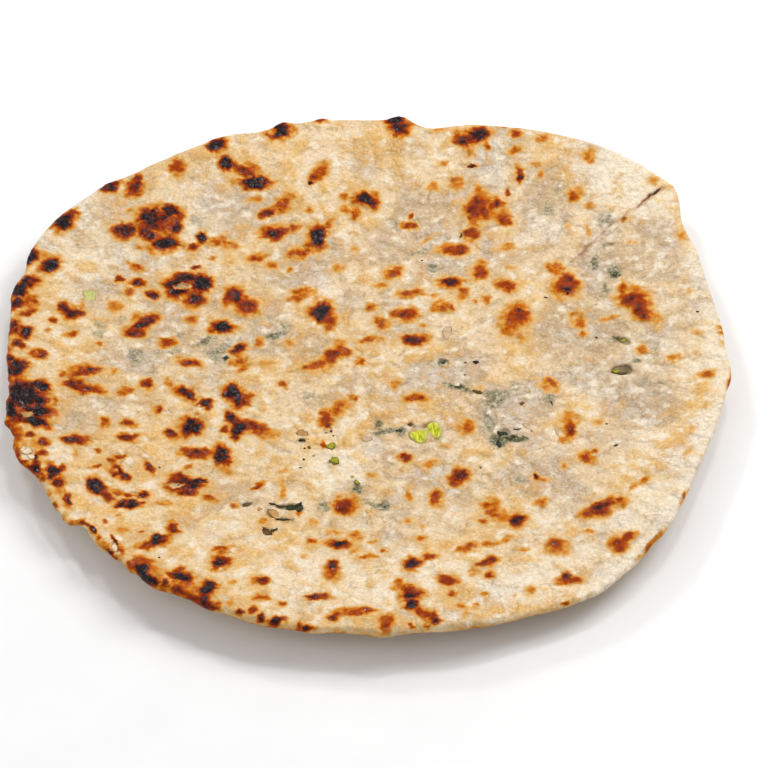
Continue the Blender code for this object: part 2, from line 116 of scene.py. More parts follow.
# --------------------------------------------------------- what is on it
# Toasted spots as the camera sees them: x, y, width, height, how dark, tilt.
# Darkness 1 is charred black, 0.7 red-brown, 0.45 orange-brown, 0.25 golden.
# A negative darkness clears the middle of a burnt blister.
SPOTS = (
    # far left quarter
    (279, 131, 22, 14, 1.0, 10), (272, 131, 8, 5, -0.55, 0), (320, 119, 14, 7, .78, 0),
    (216, 144, 17, 12, .95, 0), (226, 163, 12, 15, 1.0, 0), (222, 155, 14, 8, .42, 0),
    (178, 166, 12, 15, .72, -40), (173, 168, 8, 7, .6, 0), (134, 187, 13, 20, .86, -35),
    (139, 178, 9, 8, .92, 0), (110, 186, 22, 10, .95, 25), (63, 221, 24, 14, 1.0, 38),
    (73, 212, 10, 8, .75, 0), (30, 257, 11, 22, .95, -30), (50, 265, 18, 12, 1.0, 0),
    (47, 254, 14, 7, .42, 0), (29, 281, 20, 10, .92, 15), (19, 290, 18, 13, 1.0, 30),
    (17, 303, 14, 9, 1.0, 0), (31, 299, 14, 10, .66, 0), (26, 313, 20, 5, .72, 12),
    (13, 326, 12, 14, .85, 0), (26, 332, 13, 12, 1.0, 0), (17, 344, 16, 8, .85, 0),
    (39, 353, 15, 8, .88, 0), (38, 353, 6, 3, -0.5, 0), (15, 368, 22, 16, .95, 20),
    (10, 357, 10, 8, .9, 0), (150, 217, 22, 18, .96, 20), (171, 210, 20, 10, .97, -15),
    (162, 222, 26, 22, 0.8, 0), (176, 228, 11, 14, .9, 0), (166, 243, 24, 14, 1.0, 0),
    (147, 234, 22, 10, .9, -40), (181, 216, 8, 10, .7, 0), (126, 230, 22, 13, .86, 0),
    (116, 231, 12, 6, .8, 0), (146, 250, 20, 6, .5, -25), (131, 212, 14, 6, .36, 0),
    (202, 237, 9, 11, .92, 0), (193, 246, 11, 6, .72, 15), (222, 243, 26, 9, .62, 0),
    (236, 246, 8, 6, .5, 0), (213, 258, 9, 5, .4, 0), (257, 258, 20, 8, .62, 0),
    (271, 265, 12, 7, .5, 0), (256, 183, 32, 11, .96, 0), (244, 171, 26, 12, .74, -20),
    (254, 166, 10, 6, .45, 0), (321, 172, 16, 11, .62, 45), (313, 177, 12, 8, .6, 20),
    (310, 183, 4, 3, .95, 0), (267, 214, 15, 9, .86, 20), (283, 204, 14, 15, .62, 0),
    (289, 195, 12, 10, .4, 0), (256, 199, 16, 5, .38, 0), (309, 210, 8, 4, .42, 0),
    (274, 233, 28, 11, .92, 8), (292, 228, 14, 6, .6, 10), (345, 196, 10, 8, .58, 0),
    (364, 198, 20, 12, .9, 0), (373, 204, 12, 10, .88, -30), (355, 213, 11, 10, .62, 0),
    (345, 209, 8, 14, .42, 0), (318, 236, 17, 18, .96, 0), (326, 227, 18, 8, .6, 35), (305, 249, 26, 9, .5, 35),
    (298, 254, 24, 13, .52, 15), (318, 249, 14, 8, .62, 0), (338, 268, 14, 9, .34, 0),
    (290, 270, 6, 4, .6, 30), (178, 287, 26, 18, .97, 0), (201, 284, 22, 17, 1.0, 0),
    (181, 286, 15, 6, -1.0, 0), (195, 299, 20, 13, .9, 0), (197, 268, 8, 3, .9, 10),
    (186, 277, 24, 8, .95, 0), (137, 266, 15, 5, .6, -30), (120, 280, 7, 6, .86, 0),
    (137, 282, 14, 7, .86, 0), (130, 292, 11, 7, .46, 0), (151, 294, 14, 7, .9, -30),
    (64, 306, 10, 8, .88, 0), (73, 313, 22, 11, .86, 0), (54, 320, 8, 5, .74, 0),
    (82, 306, 5, 12, .5, 0), (114, 308, 12, 9, .56, 0), (145, 322, 26, 11, .9, 25),
    (136, 332, 20, 9, .82, 10), (139, 317, 14, 8, .6, 0), (72, 333, 14, 5, .62, 0),
    (48, 330, 6, 4, .42, 0), (223, 327, 22, 10, .93, 0), (212, 330, 10, 8, .55, 0),
    (233, 296, 15, 18, .86, 40), (247, 306, 22, 13, .86, -25), (228, 303, 10, 8, .6, 0),
    (302, 292, 20, 8, .56, 10), (295, 299, 16, 8, .46, 0), (321, 312, 21, 18, 1.0, 0),
    (329, 318, 14, 14, .82, 0), (330, 328, 12, 10, .42, 0), (192, 320, 12, 10, .46, 0),
    (168, 342, 17, 8, .74, 0), (190, 363, 22, 7, .66, -12), (239, 350, 16, 9, .88, 20),
    (240, 362, 14, 8, .6, 0), (259, 343, 14, 8, .46, 25), (290, 342, 10, 8, .34, 0),
    (245, 368, 18, 5, .44, 30), (266, 364, 18, 9, .3, 0), (283, 384, 10, 6, .55, 0),
    (333, 354, 24, 13, .76, 40), (316, 366, 26, 9, .72, 8), (344, 352, 14, 8, .62, 0),
    (361, 362, 10, 7, .66, 0), (371, 340, 27, 7, .52, 0), (372, 307, 14, 8, .5, 0),
    (380, 322, 14, 10, .6, 0), (356, 249, 12, 6, .34, 0), (100, 343, 8, 4, .46, 0),
    (115, 370, 8, 6, .5, 0), (86, 371, 30, 9, .8, 10), (76, 385, 26, 9, .86, -15),
    (93, 391, 22, 5, .76, 0), (63, 373, 10, 5, .5, 0), (147, 384, 12, 9, .86, 0),
    (128, 391, 14, 7, .62, 0), (168, 383, 8, 13, .45, 20), (187, 394, 24, 10, .92, -20),
    (205, 403, 14, 8, .86, 0), (233, 392, 18, 16, .92, 0), (246, 396, 12, 8, .7, 0),
    (42, 386, 17, 8, 1.0, -20),
    # far right quarter
    (396, 119, 25, 11, .96, 0), (400, 128, 18, 15, .9, 0), (438, 129, 10, 6, .42, 0),
    (478, 134, 22, 14, .98, 15), (465, 140, 20, 13, .86, 0), (471, 152, 11, 11, .46, -45),
    (487, 145, 5, 8, .52, 0), (516, 134, 13, 7, .62, 0), (504, 125, 12, 3, .5, 0),
    (553, 132, 9, 3, .6, -10), (540, 138, 20, 8, .4, 0), (514, 150, 13, 8, .5, 0),
    (537, 165, 13, 5, .38, 0), (540, 174, 8, 9, .38, 0), (520, 175, 7, 15, .84, 0),
    (508, 193, 5, 7, .86, 0), (445, 163, 9, 7, .5, 0), (472, 167, 5, 3, .92, 0),
    (433, 186, 12, 10, .4, 0), (457, 183, 16, 13, .42, 0), (478, 208, 24, 22, .86, 0),
    (496, 205, 20, 13, .66, 0), (506, 220, 16, 11, .66, 0), (478, 190, 11, 14, .36, 0),
    (472, 234, 14, 9, .8, 0), (474, 224, 12, 8, .42, 0), (588, 155, 14, 14, .46, 0),
    (590, 159, 9, 6, .56, 0), (574, 196, 13, 12, .64, 20), (590, 206, 10, 8, .38, 0),
    (568, 226, 10, 6, .24, 0), (588, 230, 6, 12, .42, 0), (653, 181, 12, 10, .3, 0),
    (682, 236, 9, 12, .32, 0), (633, 242, 8, 6, .28, 0), (410, 226, 11, 8, .7, 0),
    (411, 216, 4, 3, .7, 30), (425, 241, 14, 4, .36, 20), (457, 250, 32, 9, .74, 0),
    (508, 247, 20, 7, .46, 15), (395, 272, 14, 12, .66, 0), (480, 272, 14, 16, .78, 0),
    (450, 282, 22, 9, .9, 0), (506, 286, 18, 12, .72, 0), (511, 268, 15, 7, .24, 0),
    (411, 293, 24, 7, .66, 0), (434, 294, 8, 4, .4, 0), (462, 293, 14, 11, .52, 0),
    (443, 307, 18, 10, .58, 15), (452, 308, 3, 8, .5, 0), (487, 299, 10, 9, .52, 0),
    (476, 302, 6, 5, .5, 0), (554, 268, 13, 12, .68, 0), (567, 285, 22, 21, .84, 0),
    (568, 291, 6, 6, 1.0, 0), (408, 314, 22, 11, .78, 0), (393, 314, 8, 8, .5, 0),
    (414, 340, 24, 9, .86, 0), (423, 326, 8, 3, .4, 0), (516, 318, 26, 20, .66, 20), (509, 324, 26, 26, .40, 0),
    (521, 314, 16, 12, .82, 0), (506, 329, 12, 14, .4, 0), (523, 338, 12, 8, .46, 0),
    (580, 321, 12, 13, .62, 0), (573, 314, 14, 5, .44, 0), (582, 334, 9, 7, .42, 0),
    (634, 299, 30, 17, .8, 0), (642, 311, 26, 15, .76, -25), (624, 290, 8, 18, .58, 15),
    (612, 318, 22, 4, .4, 10), (642, 350, 12, 10, .44, 0), (675, 358, 13, 7, .5, 20),
    (706, 374, 20, 6, .44, 12), (698, 331, 12, 8, .22, 0), (690, 291, 10, 8, .2, 0),
    (549, 383, 18, 11, .56, -20), (395, 384, 10, 8, .44, 0),
    (415, 398, 22, 8, .66, 0), (380, 285, 16, 8, .44, 0), (730, 382, 4, 18, .6, -10),
    # near left quarter
    (24, 394, 34, 29, 1.0, 0), (11, 408, 15, 18, .96, 0), (36, 411, 30, 10, 1.0, 0),
    (34, 400, 26, 14, .95, -10), (20, 418, 22, 10, .86, 0),
    (27, 414, 9, 5, -0.5, 0), (36, 422, 26, 8, 1.0, -10), (52, 411, 14, 8, .5, -30),
    (55, 402, 5, 14, .45, 0), (48, 427, 12, 5, .62, -15), (17, 427, 14, 14, .5, 0),
    (18, 436, 10, 7, .66, 0), (30, 434, 9, 6, .8, 0), (43, 442, 11, 6, .8, 0),
    (30, 443, 26, 12, .36, 0), (22, 458, 11, 15, .82, -20), (36, 468, 13, 14, .97, -20),
    (28, 473, 6, 6, .88, 0), (41, 479, 8, 7, .62, -40), (42, 452, 10, 6, .66, 0),
    (37, 457, 5, 4, .92, 0), (53, 472, 15, 13, 1.0, 0), (62, 468, 8, 6, .74, 0),
    (58, 483, 12, 8, .88, 20), (67, 499, 7, 12, .88, 30), (55, 506, 4, 9, .66, 20),
    (74, 440, 24, 10, .84, 0), (75, 455, 5, 8, .4, 0), (106, 423, 9, 12, .6, 0),
    (127, 422, 17, 5, .6, 0), (133, 427, 9, 4, .5, 0), (157, 408, 14, 8, .42, 0),
    (160, 410, 5, 4, .82, 0), (127, 438, 18, 7, .88, 0), (171, 434, 14, 8, .88, -15),
    (192, 426, 22, 18, .98, 0), (192, 424, 10, 8, 1.0, 0), (230, 417, 14, 9, .9, -35),
    (238, 427, 14, 15, 1.0, 0), (236, 436, 9, 8, .84, 0), (225, 429, 9, 5, .74, 0),
    (246, 424, 12, 7, .72, 10), (260, 429, 28, 10, .56, -14), (250, 426, 18, 9, .76, -14), (264, 434, 22, 10, .38, -10), (240, 402, 16, 12, .9, 0),
    (209, 407, 8, 6, .82, 0), (200, 453, 34, 11, .76, 0), (186, 452, 12, 7, .6, 0),
    (188, 467, 12, 4, .44, 20), (221, 455, 17, 17, .9, 0), (226, 463, 10, 7, .8, 0),
    (228, 472, 16, 9, .32, 0), (99, 451, 7, 4, .7, -20), (112, 459, 12, 5, .66, 0),
    (122, 456, 10, 4, .7, 0), (117, 470, 14, 8, .92, -35), (125, 477, 10, 7, .84, -35),
    (115, 470, 5, 3, -0.5, 0), (150, 468, 14, 8, .86, -45), (97, 467, 9, 3, .72, 0),
    (90, 469, 6, 5, .4, 0), (96, 486, 17, 13, 1.0, -35), (106, 495, 15, 8, .84, -30),
    (118, 493, 12, 5, .62, 0), (129, 495, 14, 5, .8, 0), (144, 495, 10, 6, .86, 0),
    (135, 493, 7, 3, -0.8, 0), (128, 504, 22, 7, .97, 0), (142, 503, 8, 3, .6, 0),
    (165, 503, 22, 4, .36, 0), (183, 484, 37, 13, .93, 0), (176, 485, 17, 4, -0.9, 0),
    (178, 476, 14, 5, .82, 0), (200, 481, 14, 5, .94, 0), (187, 492, 20, 6, .9, 0),
    (208, 499, 16, 6, .64, 0), (234, 505, 8, 6, .5, 0), (258, 486, 14, 5, .64, 20),
    (283, 470, 9, 9, .42, 0), (282, 490, 7, 22, .4, 0), (262, 521, 8, 6, .46, 0),
    (300, 513, 6, 4, .5, 0), (344, 506, 20, 16, .80, 0), (354, 506, 12, 12, .5, 0), (313, 521, 12, 8, .3, 0),
    (336, 532, 22, 4, .34, 0), (358, 536, 12, 6, .56, -20), (372, 542, 16, 3, .36, 10),
    (340, 545, 30, 8, .74, -8), (340, 544, 11, 5, .94, 0), (311, 541, 9, 6, .5, 0),
    (332, 570, 16, 15, .66, 0), (334, 564, 10, 6, .8, 0), (366, 557, 16, 5, .62, 0),
    (383, 551, 8, 4, .6, 0), (305, 557, 10, 4, .28, 0), (275, 550, 10, 3, .34, 0),
    (262, 581, 13, 7, .84, 0), (232, 581, 10, 3, .34, 0), (262, 597, 15, 6, .62, 0),
    (283, 604, 8, 4, .55, 0), (318, 597, 21, 6, .88, 0), (358, 611, 36, 7, .7, 8),
    (335, 617, 11, 8, .72, 15), (385, 622, 14, 20, .7, -20), (309, 629, 13, 6, .8, 0),
    (276, 621, 14, 10, .97, 0), (262, 618, 8, 7, .94, 0), (253, 610, 10, 8, .7, 0),
    (240, 612, 7, 6, .9, 0), (231, 602, 8, 6, .38, 0), (219, 603, 10, 6, .6, 0),
    (207, 605, 18, 12, .86, -10), (208, 588, 16, 11, .98, 10), (205, 597, 10, 10, .8, 0),
    (192, 598, 11, 7, .72, -20), (178, 590, 15, 10, .76, -20), (184, 583, 32, 10, .5, -15),
    (165, 582, 6, 9, .88, 20), (181, 576, 26, 8, .98, -8), (178, 569, 14, 4, .62, 10),
    (142, 565, 20, 11, .56, 0), (141, 570, 15, 12, 1.0, -40), (150, 580, 19, 9, .97, -35),
    (131, 565, 9, 8, .62, 0), (220, 562, 20, 11, .92, 10), (223, 553, 9, 5, .5, 0),
    (220, 548, 18, 3, .6, 8), (174, 528, 13, 7, .8, -25), (168, 523, 8, 5, .46, 0),
    (159, 540, 24, 9, .92, 22), (147, 546, 14, 7, .72, 10), (122, 530, 18, 8, .3, 0),
    (115, 541, 3, 13, .94, 28), (121, 549, 5, 15, .6, 10), (110, 553, 14, 3, .92, -38),
    (116, 559, 5, 5, .92, 0), (84, 522, 8, 5, .84, -30), (92, 530, 13, 4, 1.0, -50),
    (98, 538, 4, 6, .62, 0), (105, 521, 5, 4, .6, 0), (141, 531, 8, 2, .5, 10),
    (117, 516, 6, 2, .42, 0), (142, 434, 14, 4, .24, 0), (170, 449, 8, 6, .24, 0),
    (325, 418, 11, 13, .74, 0), (334, 412, 26, 10, .52, 30), (338, 407, 34, 18, .36, 30), (327, 425, 7, 6, .82, 0), (324, 443, 4, 5, .72, 0), (623, 219, 5, 4, .46, 0),
    (353, 397, 8, 5, .6, 20), (344, 406, 10, 4, .46, 10), (372, 475, 14, 6, .28, 0),
    (363, 438, 10, 5, .36, -20),
    (13, 440, 14, 30, .58, -15), (24, 462, 12, 20, .6, -25), (28, 454, 15, 11, -0.85, -30),
    (176, 593, 62, 15, .46, -17), (152, 578, 44, 22, .4, -32), (204, 604, 34, 13, .66, -14),
    (146, 563, 34, 14, .44, -30), (206, 592, 22, 20, .62, 10), (104, 545, 12, 6, .55, -40),
    (48, 464, 18, 8, .42, -30), (60, 490, 12, 20, .42, 25), (66, 505, 14, 10, .4, -40),
    (90, 388, 34, 12, .46, -10), (40, 414, 40, 16, .56, -8), (150, 220, 30, 20, .5, 0),
    # near right quarter
    (468, 426, 15, 13, .68, 0), (569, 428, 15, 22, .66, 0), (571, 431, 8, 9, .78, 0),
    (587, 458, 12, 12, .72, 0), (593, 452, 10, 4, .5, 40), (597, 421, 14, 6, .3, 0),
    (562, 440, 6, 8, .28, 0), (565, 465, 8, 5, .36, 40), (407, 458, 12, 7, .84, -10),
    (431, 464, 14, 8, .46, 15), (446, 447, 10, 6, .24, 0), (470, 452, 14, 5, .2, 0),
    (506, 461, 16, 5, .22, 10), (460, 475, 18, 13, .88, 0), (454, 484, 12, 8, .64, 0),
    # the thin spots at (653, 544) and (684, 497) at the end of the next line are painted shade: a dark line where the
    # lower right rim turns down
    (436, 498, 13, 13, .78, 0), (409, 495, 6, 12, .46, 0), (489, 505, 14, 13, .58, 0), (653, 544, 34, 2.2, .56, 47), (684, 497, 12, 1.8, .5, 62),
    (496, 514, 16, 12, .62, 0), (486, 513, 8, 6, .5, 0), (483, 521, 14, 4, .62, 0), (517, 520, 17, 11, .86, 10),
    (541, 501, 14, 8, .44, 20), (541, 478, 16, 6, .44, -10), (536, 475, 4, 3, .88, 0),
    (407, 520, 8, 6, .4, 0), (422, 538, 11, 4, .42, 0), (421, 526, 6, 8, .28, 0),
    (465, 548, 17, 9, .74, 20), (489, 543, 12, 4, .62, 0), (505, 540, 20, 5, .52, 15),
    (488, 562, 20, 8, .74, 20), (475, 572, 10, 8, .44, 0), (489, 575, 11, 6, .62, 0),
    (412, 563, 18, 10, .85, 0), (431, 557, 13, 5, .74, 10), (447, 580, 18, 8, .77, 0),
    (399, 582, 12, 10, .62, 0), (455, 593, 10, 8, .62, 0), (411, 593, 22, 11, .92, 0),
    (411, 604, 14, 10, .95, 0), (421, 611, 16, 8, .72, -20), (431, 616, 18, 8, .8, -15),
    (437, 622, 8, 6, .86, 0), (411, 626, 7, 3, .72, 0), (427, 626, 5, 3, .86, 0),
    (461, 605, 12, 5, .42, 0), (475, 606, 8, 8, .42, 0), (465, 612, 5, 14, .38, 0),
    (485, 594, 7, 4, .4, 0), (516, 596, 6, 3, .34, 0), (530, 591, 10, 8, .42, -30),
    (555, 545, 20, 15, .56, 0), (557, 542, 10, 7, .66, 0), (543, 551, 10, 7, .32, 30),
    (525, 550, 14, 4, .38, 0), (588, 531, 10, 4, .4, 0), (600, 508, 36, 13, .72, 22),
    (604, 505, 22, 6, .80, 26), (590, 512, 16, 8, .6, 10), (619, 499, 8, 4, .7, 20),
    (619, 545, 15, 15, .74, 0), (628, 538, 16, 8, .76, 35), (570, 580, 26, 6, .74, 5),
    (567, 577, 8, 9, .82, 0), (561, 583, 8, 5, .5, 20), (633, 486, 12, 5, .4, 30),
    (645, 479, 12, 5, .42, 40), (521, 570, 20, 6, .18, 10), 
    (566, 603, 8, 3, .7, 10), (620, 405, 8, 5, .28, 30), (657, 463, 6, 8, .2, 0),
    (478, 388, 12, 5, .24, 0), (707, 404, 8, 12, .22, 0),
    (692, 428, 12, 10, .2, 0), (688, 450, 12, 10, .2, 0),
)

# Broad tones of the dough: x, y, width, height, tilt, strength
GOLDEN = (
    (60, 345, 80, 80, 0, 0.3), (125, 445, 130, 66, 0, 0.45), (330, 440, 90, 84, 0, 0.3), (310, 312, 44, 30, 0, 0.3), (312, 362, 60, 40, 0, 0.75), (456, 598, 60, 40, 0, 0.6),
    (420, 408, 130, 56, 10, 0.4), (280, 585, 120, 60, 0, 0.4), (100, 520, 70, 50, -30, 0.5),
    (560, 412, 60, 40, 0, 0.4), (678, 420, 40, 56, -20, 0.45), (700, 462, 30, 50, -20, 0.2),
    (540, 280, 56, 40, 0, 0.35), (272, 150, 70, 36, 0, 0.35), (205, 158, 60, 36, 20, 0.3),
    (385, 150, 70, 40, 0, 0.5), (562, 168, 50, 60, 0, 0.5), (205, 460, 50, 30, 0, 0.5),
    (500, 510, 70, 44, 0, 0.4), (470, 596, 120, 30, 8, 0.2), (520, 345, 70, 30, 0, 0.5),
    (228, 300, 70, 50, 0, 0.45), (400, 322, 50, 34, 0, 0.3), (200, 398, 50, 34, 0, 0.15),
    (250, 255, 60, 30, 0, 0.4), (60, 400, 50, 40, 0, 0.4), (45, 300, 40, 80, 10, 0.15),
    (330, 618, 220, 26, 0, 0.35), (500, 606, 120, 22, 8, 0.5), (500, 612, 80, 12, 5, 1.0), (450, 600, 60, 20, 0, 0.5),
    (450, 350, 60, 30, 0, 0.5), (510, 370, 60, 40, 0, 0.35), (300, 262, 60, 30, 0, 0.4),
    (355, 215, 50, 40, 0, 0.5), (450, 215, 50, 30, 0, 0.5), (250, 310, 70, 40, 0, 0.35),
    (210, 505, 70, 50, 0, 0.5), (250, 550, 120, 40, 5, 0.5), (360, 500, 50, 40, 0, 0.4),
    (550, 500, 50, 40, 0, 0.4), (560, 590, 70, 24, 15, 0.6), (120, 555, 50, 30, -30, 0.4),
    (455, 550, 60, 30, 0, 0.5),
    (704, 398, 14, 30, 0, 0.3), (120, 205, 90, 40, 30, 0.35),
    (430, 285, 60, 40, 0, 0.15), (560, 315, 60, 24, 0, 0.35), (150, 300, 60, 40, 0, 0.3),
    (640, 470, 60, 40, 30, 0.3), (300, 340, 60, 30, 0, 0.4), (260, 365, 50, 20, 15, 0.4),
)
# Pale patches of the dough: x, y, width, height, tilt, strength. Those along the rims are painted light: they
# brighten rims that turn down out of the light, and make the right rim bright.
PALE = (
    (322, 290, 30, 26, 45, 0.9), (205, 232, 50, 40, 0, 0.5), (158, 258, 24, 20, 0, 0.4),
    (492, 165, 30, 60, 10, 0.6), (612, 172, 90, 60, -25, 0.9), (48, 235, 40, 50, 30, 0.6),
    (88, 268, 16, 40, 0, 0.5), (428, 150, 44, 40, 0, 0.4), (332, 470, 60, 44, 0, 0.8),
    (292, 572, 70, 50, 0, 0.7), (400, 592, 90, 50, 0, 0.5), (522, 578, 60, 24, 8, 0.8),
    (622, 530, 60, 60, 35, 0.7), (562, 440, 20, 50, -20, 0.5), (672, 350, 24, 50, 0, 0.5),
    (410, 562, 60, 30, 0, 0.5), (55, 455, 36, 30, 0, 0.6), (352, 418, 34, 26, 30, 0.5),
    (442, 316, 20, 30, 0, 0.4), (712, 345, 24, 110, 8, 0.6), (690, 300, 20, 60, 12, 0.2),
    (690, 490, 30, 60, -25, 0.9), (650, 190, 60, 16, -35, 0.7), (28, 453, 20, 14, -30, 1.0),
    (75, 512, 40, 22, -35, 0.7), (540, 230, 50, 30, 0, 0.5), (662, 222, 16, 20, 0, 0.8),
    (662, 255, 10, 34, -15, 0.7), (346, 235, 12, 26, -35, 0.8), (500, 290, 30, 20, 0, 0.3),
    (590, 395, 30, 60, -50, 0.6), (640, 430, 60, 20, 30, 0.4), (555, 510, 40, 40, 40, 0.7),
    (700, 370, 40, 24, 20, 0.6), (300, 425, 40, 16, 0, 0.5), (265, 388, 12, 30, 30, 0.6),
    (205, 205, 40, 14, 0, 0.4), (590, 420, 16, 50, 15, 0.4), (330, 545, 60, 20, 0, 0.3),
    (130, 480, 60, 16, 0, 0.4), (240, 580, 60, 24, 0, 0.5), (585, 330, 20, 30, 0, 0.4),
    (470, 590, 120, 12, 8, 0.4), (100, 250, 50, 40, 0, 0.5), (700, 440, 26, 90, -20, 0.8),
    (230, 545, 90, 40, 10, 0.5), (360, 585, 90, 30, 0, 0.6), (450, 575, 100, 40, 8, 0.5),
    (560, 560, 90, 40, 20, 0.6), (650, 500, 50, 60, 35, 0.6), (700, 290, 24, 90, 15, 0.6),
    (640, 200, 60, 30, -30, 0.8), (320, 160, 60, 24, 0, 0.4), (600, 150, 80, 24, -15, 0.7),
    (716, 340, 26, 130, 8, 0.8), (706, 440, 26, 110, -15, 1.0), (670, 520, 30, 90, -35, 1.0),
    (68, 216, 60, 34, 35, 0.9), (75, 262, 60, 60, 0, 0.5), (70, 320, 60, 60, 0, 0.4),
    (410, 300, 50, 40, 0, 0.5), (605, 300, 60, 60, 0, 0.25), (655, 280, 80, 90, 0, 0.25),
    (640, 360, 50, 50, 0, 0.4), (600, 215, 50, 50, 0, 0.6), (300, 600, 70, 34, 5, 0.6),
    (500, 600, 70, 30, 8, 0.8), (215, 405, 50, 40, 0, 0.5), (410, 400, 50, 36, 0, 0.4),
    (645, 450, 60, 40, 20, 0.6), (120, 500, 50, 40, 0, 0.5), (500, 262, 60, 50, 0, 0.1),
    (690, 460, 30, 60, -20, 0.8), (360, 450, 50, 40, 0, 0.5), (110, 545, 40, 30, -30, 0.5),
    (620, 572, 90, 26, 28, 1.0), (560, 594, 80, 14, 12, 0.9), (440, 618, 60, 12, 2, 0.6),
)
WET = (
    (603, 262, 50, 100, 0, 0.8), (602, 330, 60, 60, 0, 0.7), (655, 238, 46, 56, 0, 0.7),
    (660, 312, 50, 40, 0, 0.5), (645, 398, 80, 56, -10, 0.8), (438, 372, 70, 36, 0, 0.6),
    (500, 412, 56, 56, 0, 0.7), (542, 398, 36, 46, 0, 0.7), (140, 350, 66, 50, 0, 0.6),
    (222, 340, 56, 40, 0, 0.6), (90, 292, 44, 40, 0, 0.5), (272, 340, 50, 30, 0, 0.6),
    (500, 140, 60, 36, 0, 0.6), (545, 200, 60, 70, 0, 0.6), (420, 215, 70, 40, 0, 0.6),
    (450, 262, 60, 50, 0, 0.5), (396, 292, 46, 40, 0, 0.5), (240, 500, 70, 40, 0, 0.4),
    (352, 492, 46, 30, 0, 0.5), (552, 480, 70, 60, 0, 0.5), (612, 440, 70, 40, 20, 0.45),
    (160, 310, 60, 40, 0, 0.4), (105, 232, 60, 50, 0, 0.4), (335, 250, 70, 40, 0, 0.4),
    (470, 350, 60, 40, 0, 0.4), (340, 395, 60, 30, 35, 0.5), (300, 400, 50, 30, 0, 0.4),
    (590, 540, 40, 30, 30, 0.3), (580, 190, 60, 40, 0, 0.3), (70, 420, 40, 30, 0, 0.4),
    (475, 370, 26, 30, 0, 0.6), (448, 330, 16, 24, 0, 0.6), (655, 262, 60, 50, 0, 0.7),
    (500, 262, 50, 40, 0, 0.5), (690, 300, 30, 50, 0, 0.5), (600, 268, 60, 56, 0, 0.5), (600, 316, 60, 44, 0, 0.6), (668, 312, 50, 50, 0, 0.5),
    (648, 360, 60, 50, 0, 0.5), (408, 312, 56, 50, 0, 0.5), (312, 360, 56, 50, 0, 0.5), (668, 340, 40, 40, 0, 0.4), (640, 350, 60, 40, 0, 0.5),
    (500, 330, 60, 40, 0, 0.3), (350, 300, 40, 30, 0, 0.4), (410, 440, 80, 40, 0, 0.4),
    (600, 565, 60, 20, 30, 0.3), (440, 500, 80, 60, 0, 0.35), (240, 210, 90, 50, 0, 0.5),
    (300, 270, 110, 50, 0, 0.5), (400, 245, 90, 50, 0, 0.5), (480, 200, 80, 60, 0, 0.4),
    (250, 310, 90, 40, 0, 0.5), (560, 330, 70, 70, 0, 0.5), (650, 330, 60, 60, 0, 0.6),
    (620, 380, 90, 50, 0, 0.6), (540, 250, 60, 70, 0, 0.4), (180, 330, 60, 50, 0, 0.5),
)
# Dark filling that shows through the skin: x, y, width, height, tilt, strength
FILLING = (
    (205, 341, 26, 9, 20, 0.75), (222, 352, 34, 18, 25, 0.6), (276, 335, 26, 6, 8, 0.9),
    (285, 326, 12, 12, 0, 0.6), (135, 356, 16, 16, -20, 0.7), (100, 332, 18, 16, -40, 0.5),
    (122, 318, 16, 6, 10, 0.4), (168, 350, 22, 16, 0, 0.5), (72, 420, 18, 16, 0, 0.4),
    (310, 396, 22, 8, 0, 0.5), (300, 404, 20, 8, 0, 0.3), (595, 263, 9, 17, 0, 0.9),
    (614, 272, 13, 13, 20, 1.1), (605, 289, 10, 13, 0, 0.7), (607, 220, 16, 16, 0, 0.55),
    (609, 244, 12, 6, 10, 0.8), (636, 360, 11, 7, 0, 0.8), (645, 384, 26, 9, 0, 0.5),
    (618, 339, 14, 6, -10, 0.9), (596, 338, 5, 4, 0, 0.8), (443, 361, 13, 9, 0, 1.0),
    (433, 268, 9, 11, 0, 0.8), (396, 226, 14, 12, 0, 0.5), (420, 252, 26, 4, 20, 0.6),
    (456, 387, 26, 6, -12, 1.2), (470, 391, 20, 7, 0, 0.9), (478, 392, 8, 5, 0, 0.5), (494, 398, 30, 22, 0, 0.7),
    (489, 420, 14, 30, 15, 0.6), (498, 441, 18, 16, -20, 0.9), (515, 438, 28, 8, 0, 1.2),
    (549, 400, 9, 14, 0, 0.6), (385, 431, 26, 8, 8, 0.8), (378, 423, 9, 9, 0, 0.9),
    (384, 505, 16, 12, 0, 0.9), (372, 504, 16, 8, 0, 0.6), (327, 506, 18, 12, 20, 0.9),
    (357, 490, 8, 22, 0, 0.9), (521, 480, 16, 10, 0, 0.45), (560, 186, 10, 10, 0, 0.6),
    (548, 210, 14, 10, 0, 0.5), (458, 300, 6, 12, 0, 0.3), (212, 354, 16, 10, 20, 0.5),
    (178, 336, 16, 6, 10, 0.5), (226, 358, 10, 10, 0, 0.9), (390, 540, 10, 6, 0, 0.3),
    (402, 432, 12, 10, 30, 1.0), (345, 500, 60, 8, 0, 0.3), (655, 346, 12, 8, 0, 0.4),
    (660, 383, 16, 6, 0, 0.6), (386, 460, 12, 8, 0, 0.2), (392, 466, 10, 8, 0, 0.4),
    (378, 568, 12, 6, 20, 0.4), (480, 468, 5, 4, 0, 0.8), (518, 388, 14, 12, 0, 0.5),
    (195, 222, 14, 20, 0, 0.3), (208, 247, 10, 8, 0, 0.6), (156, 222, 12, 6, 0, 0.2),
    (245, 503, 24, 5, -5, 0.5), (600, 302, 16, 12, 0, 0.4), (625, 372, 12, 10, 0, 0.7),
)
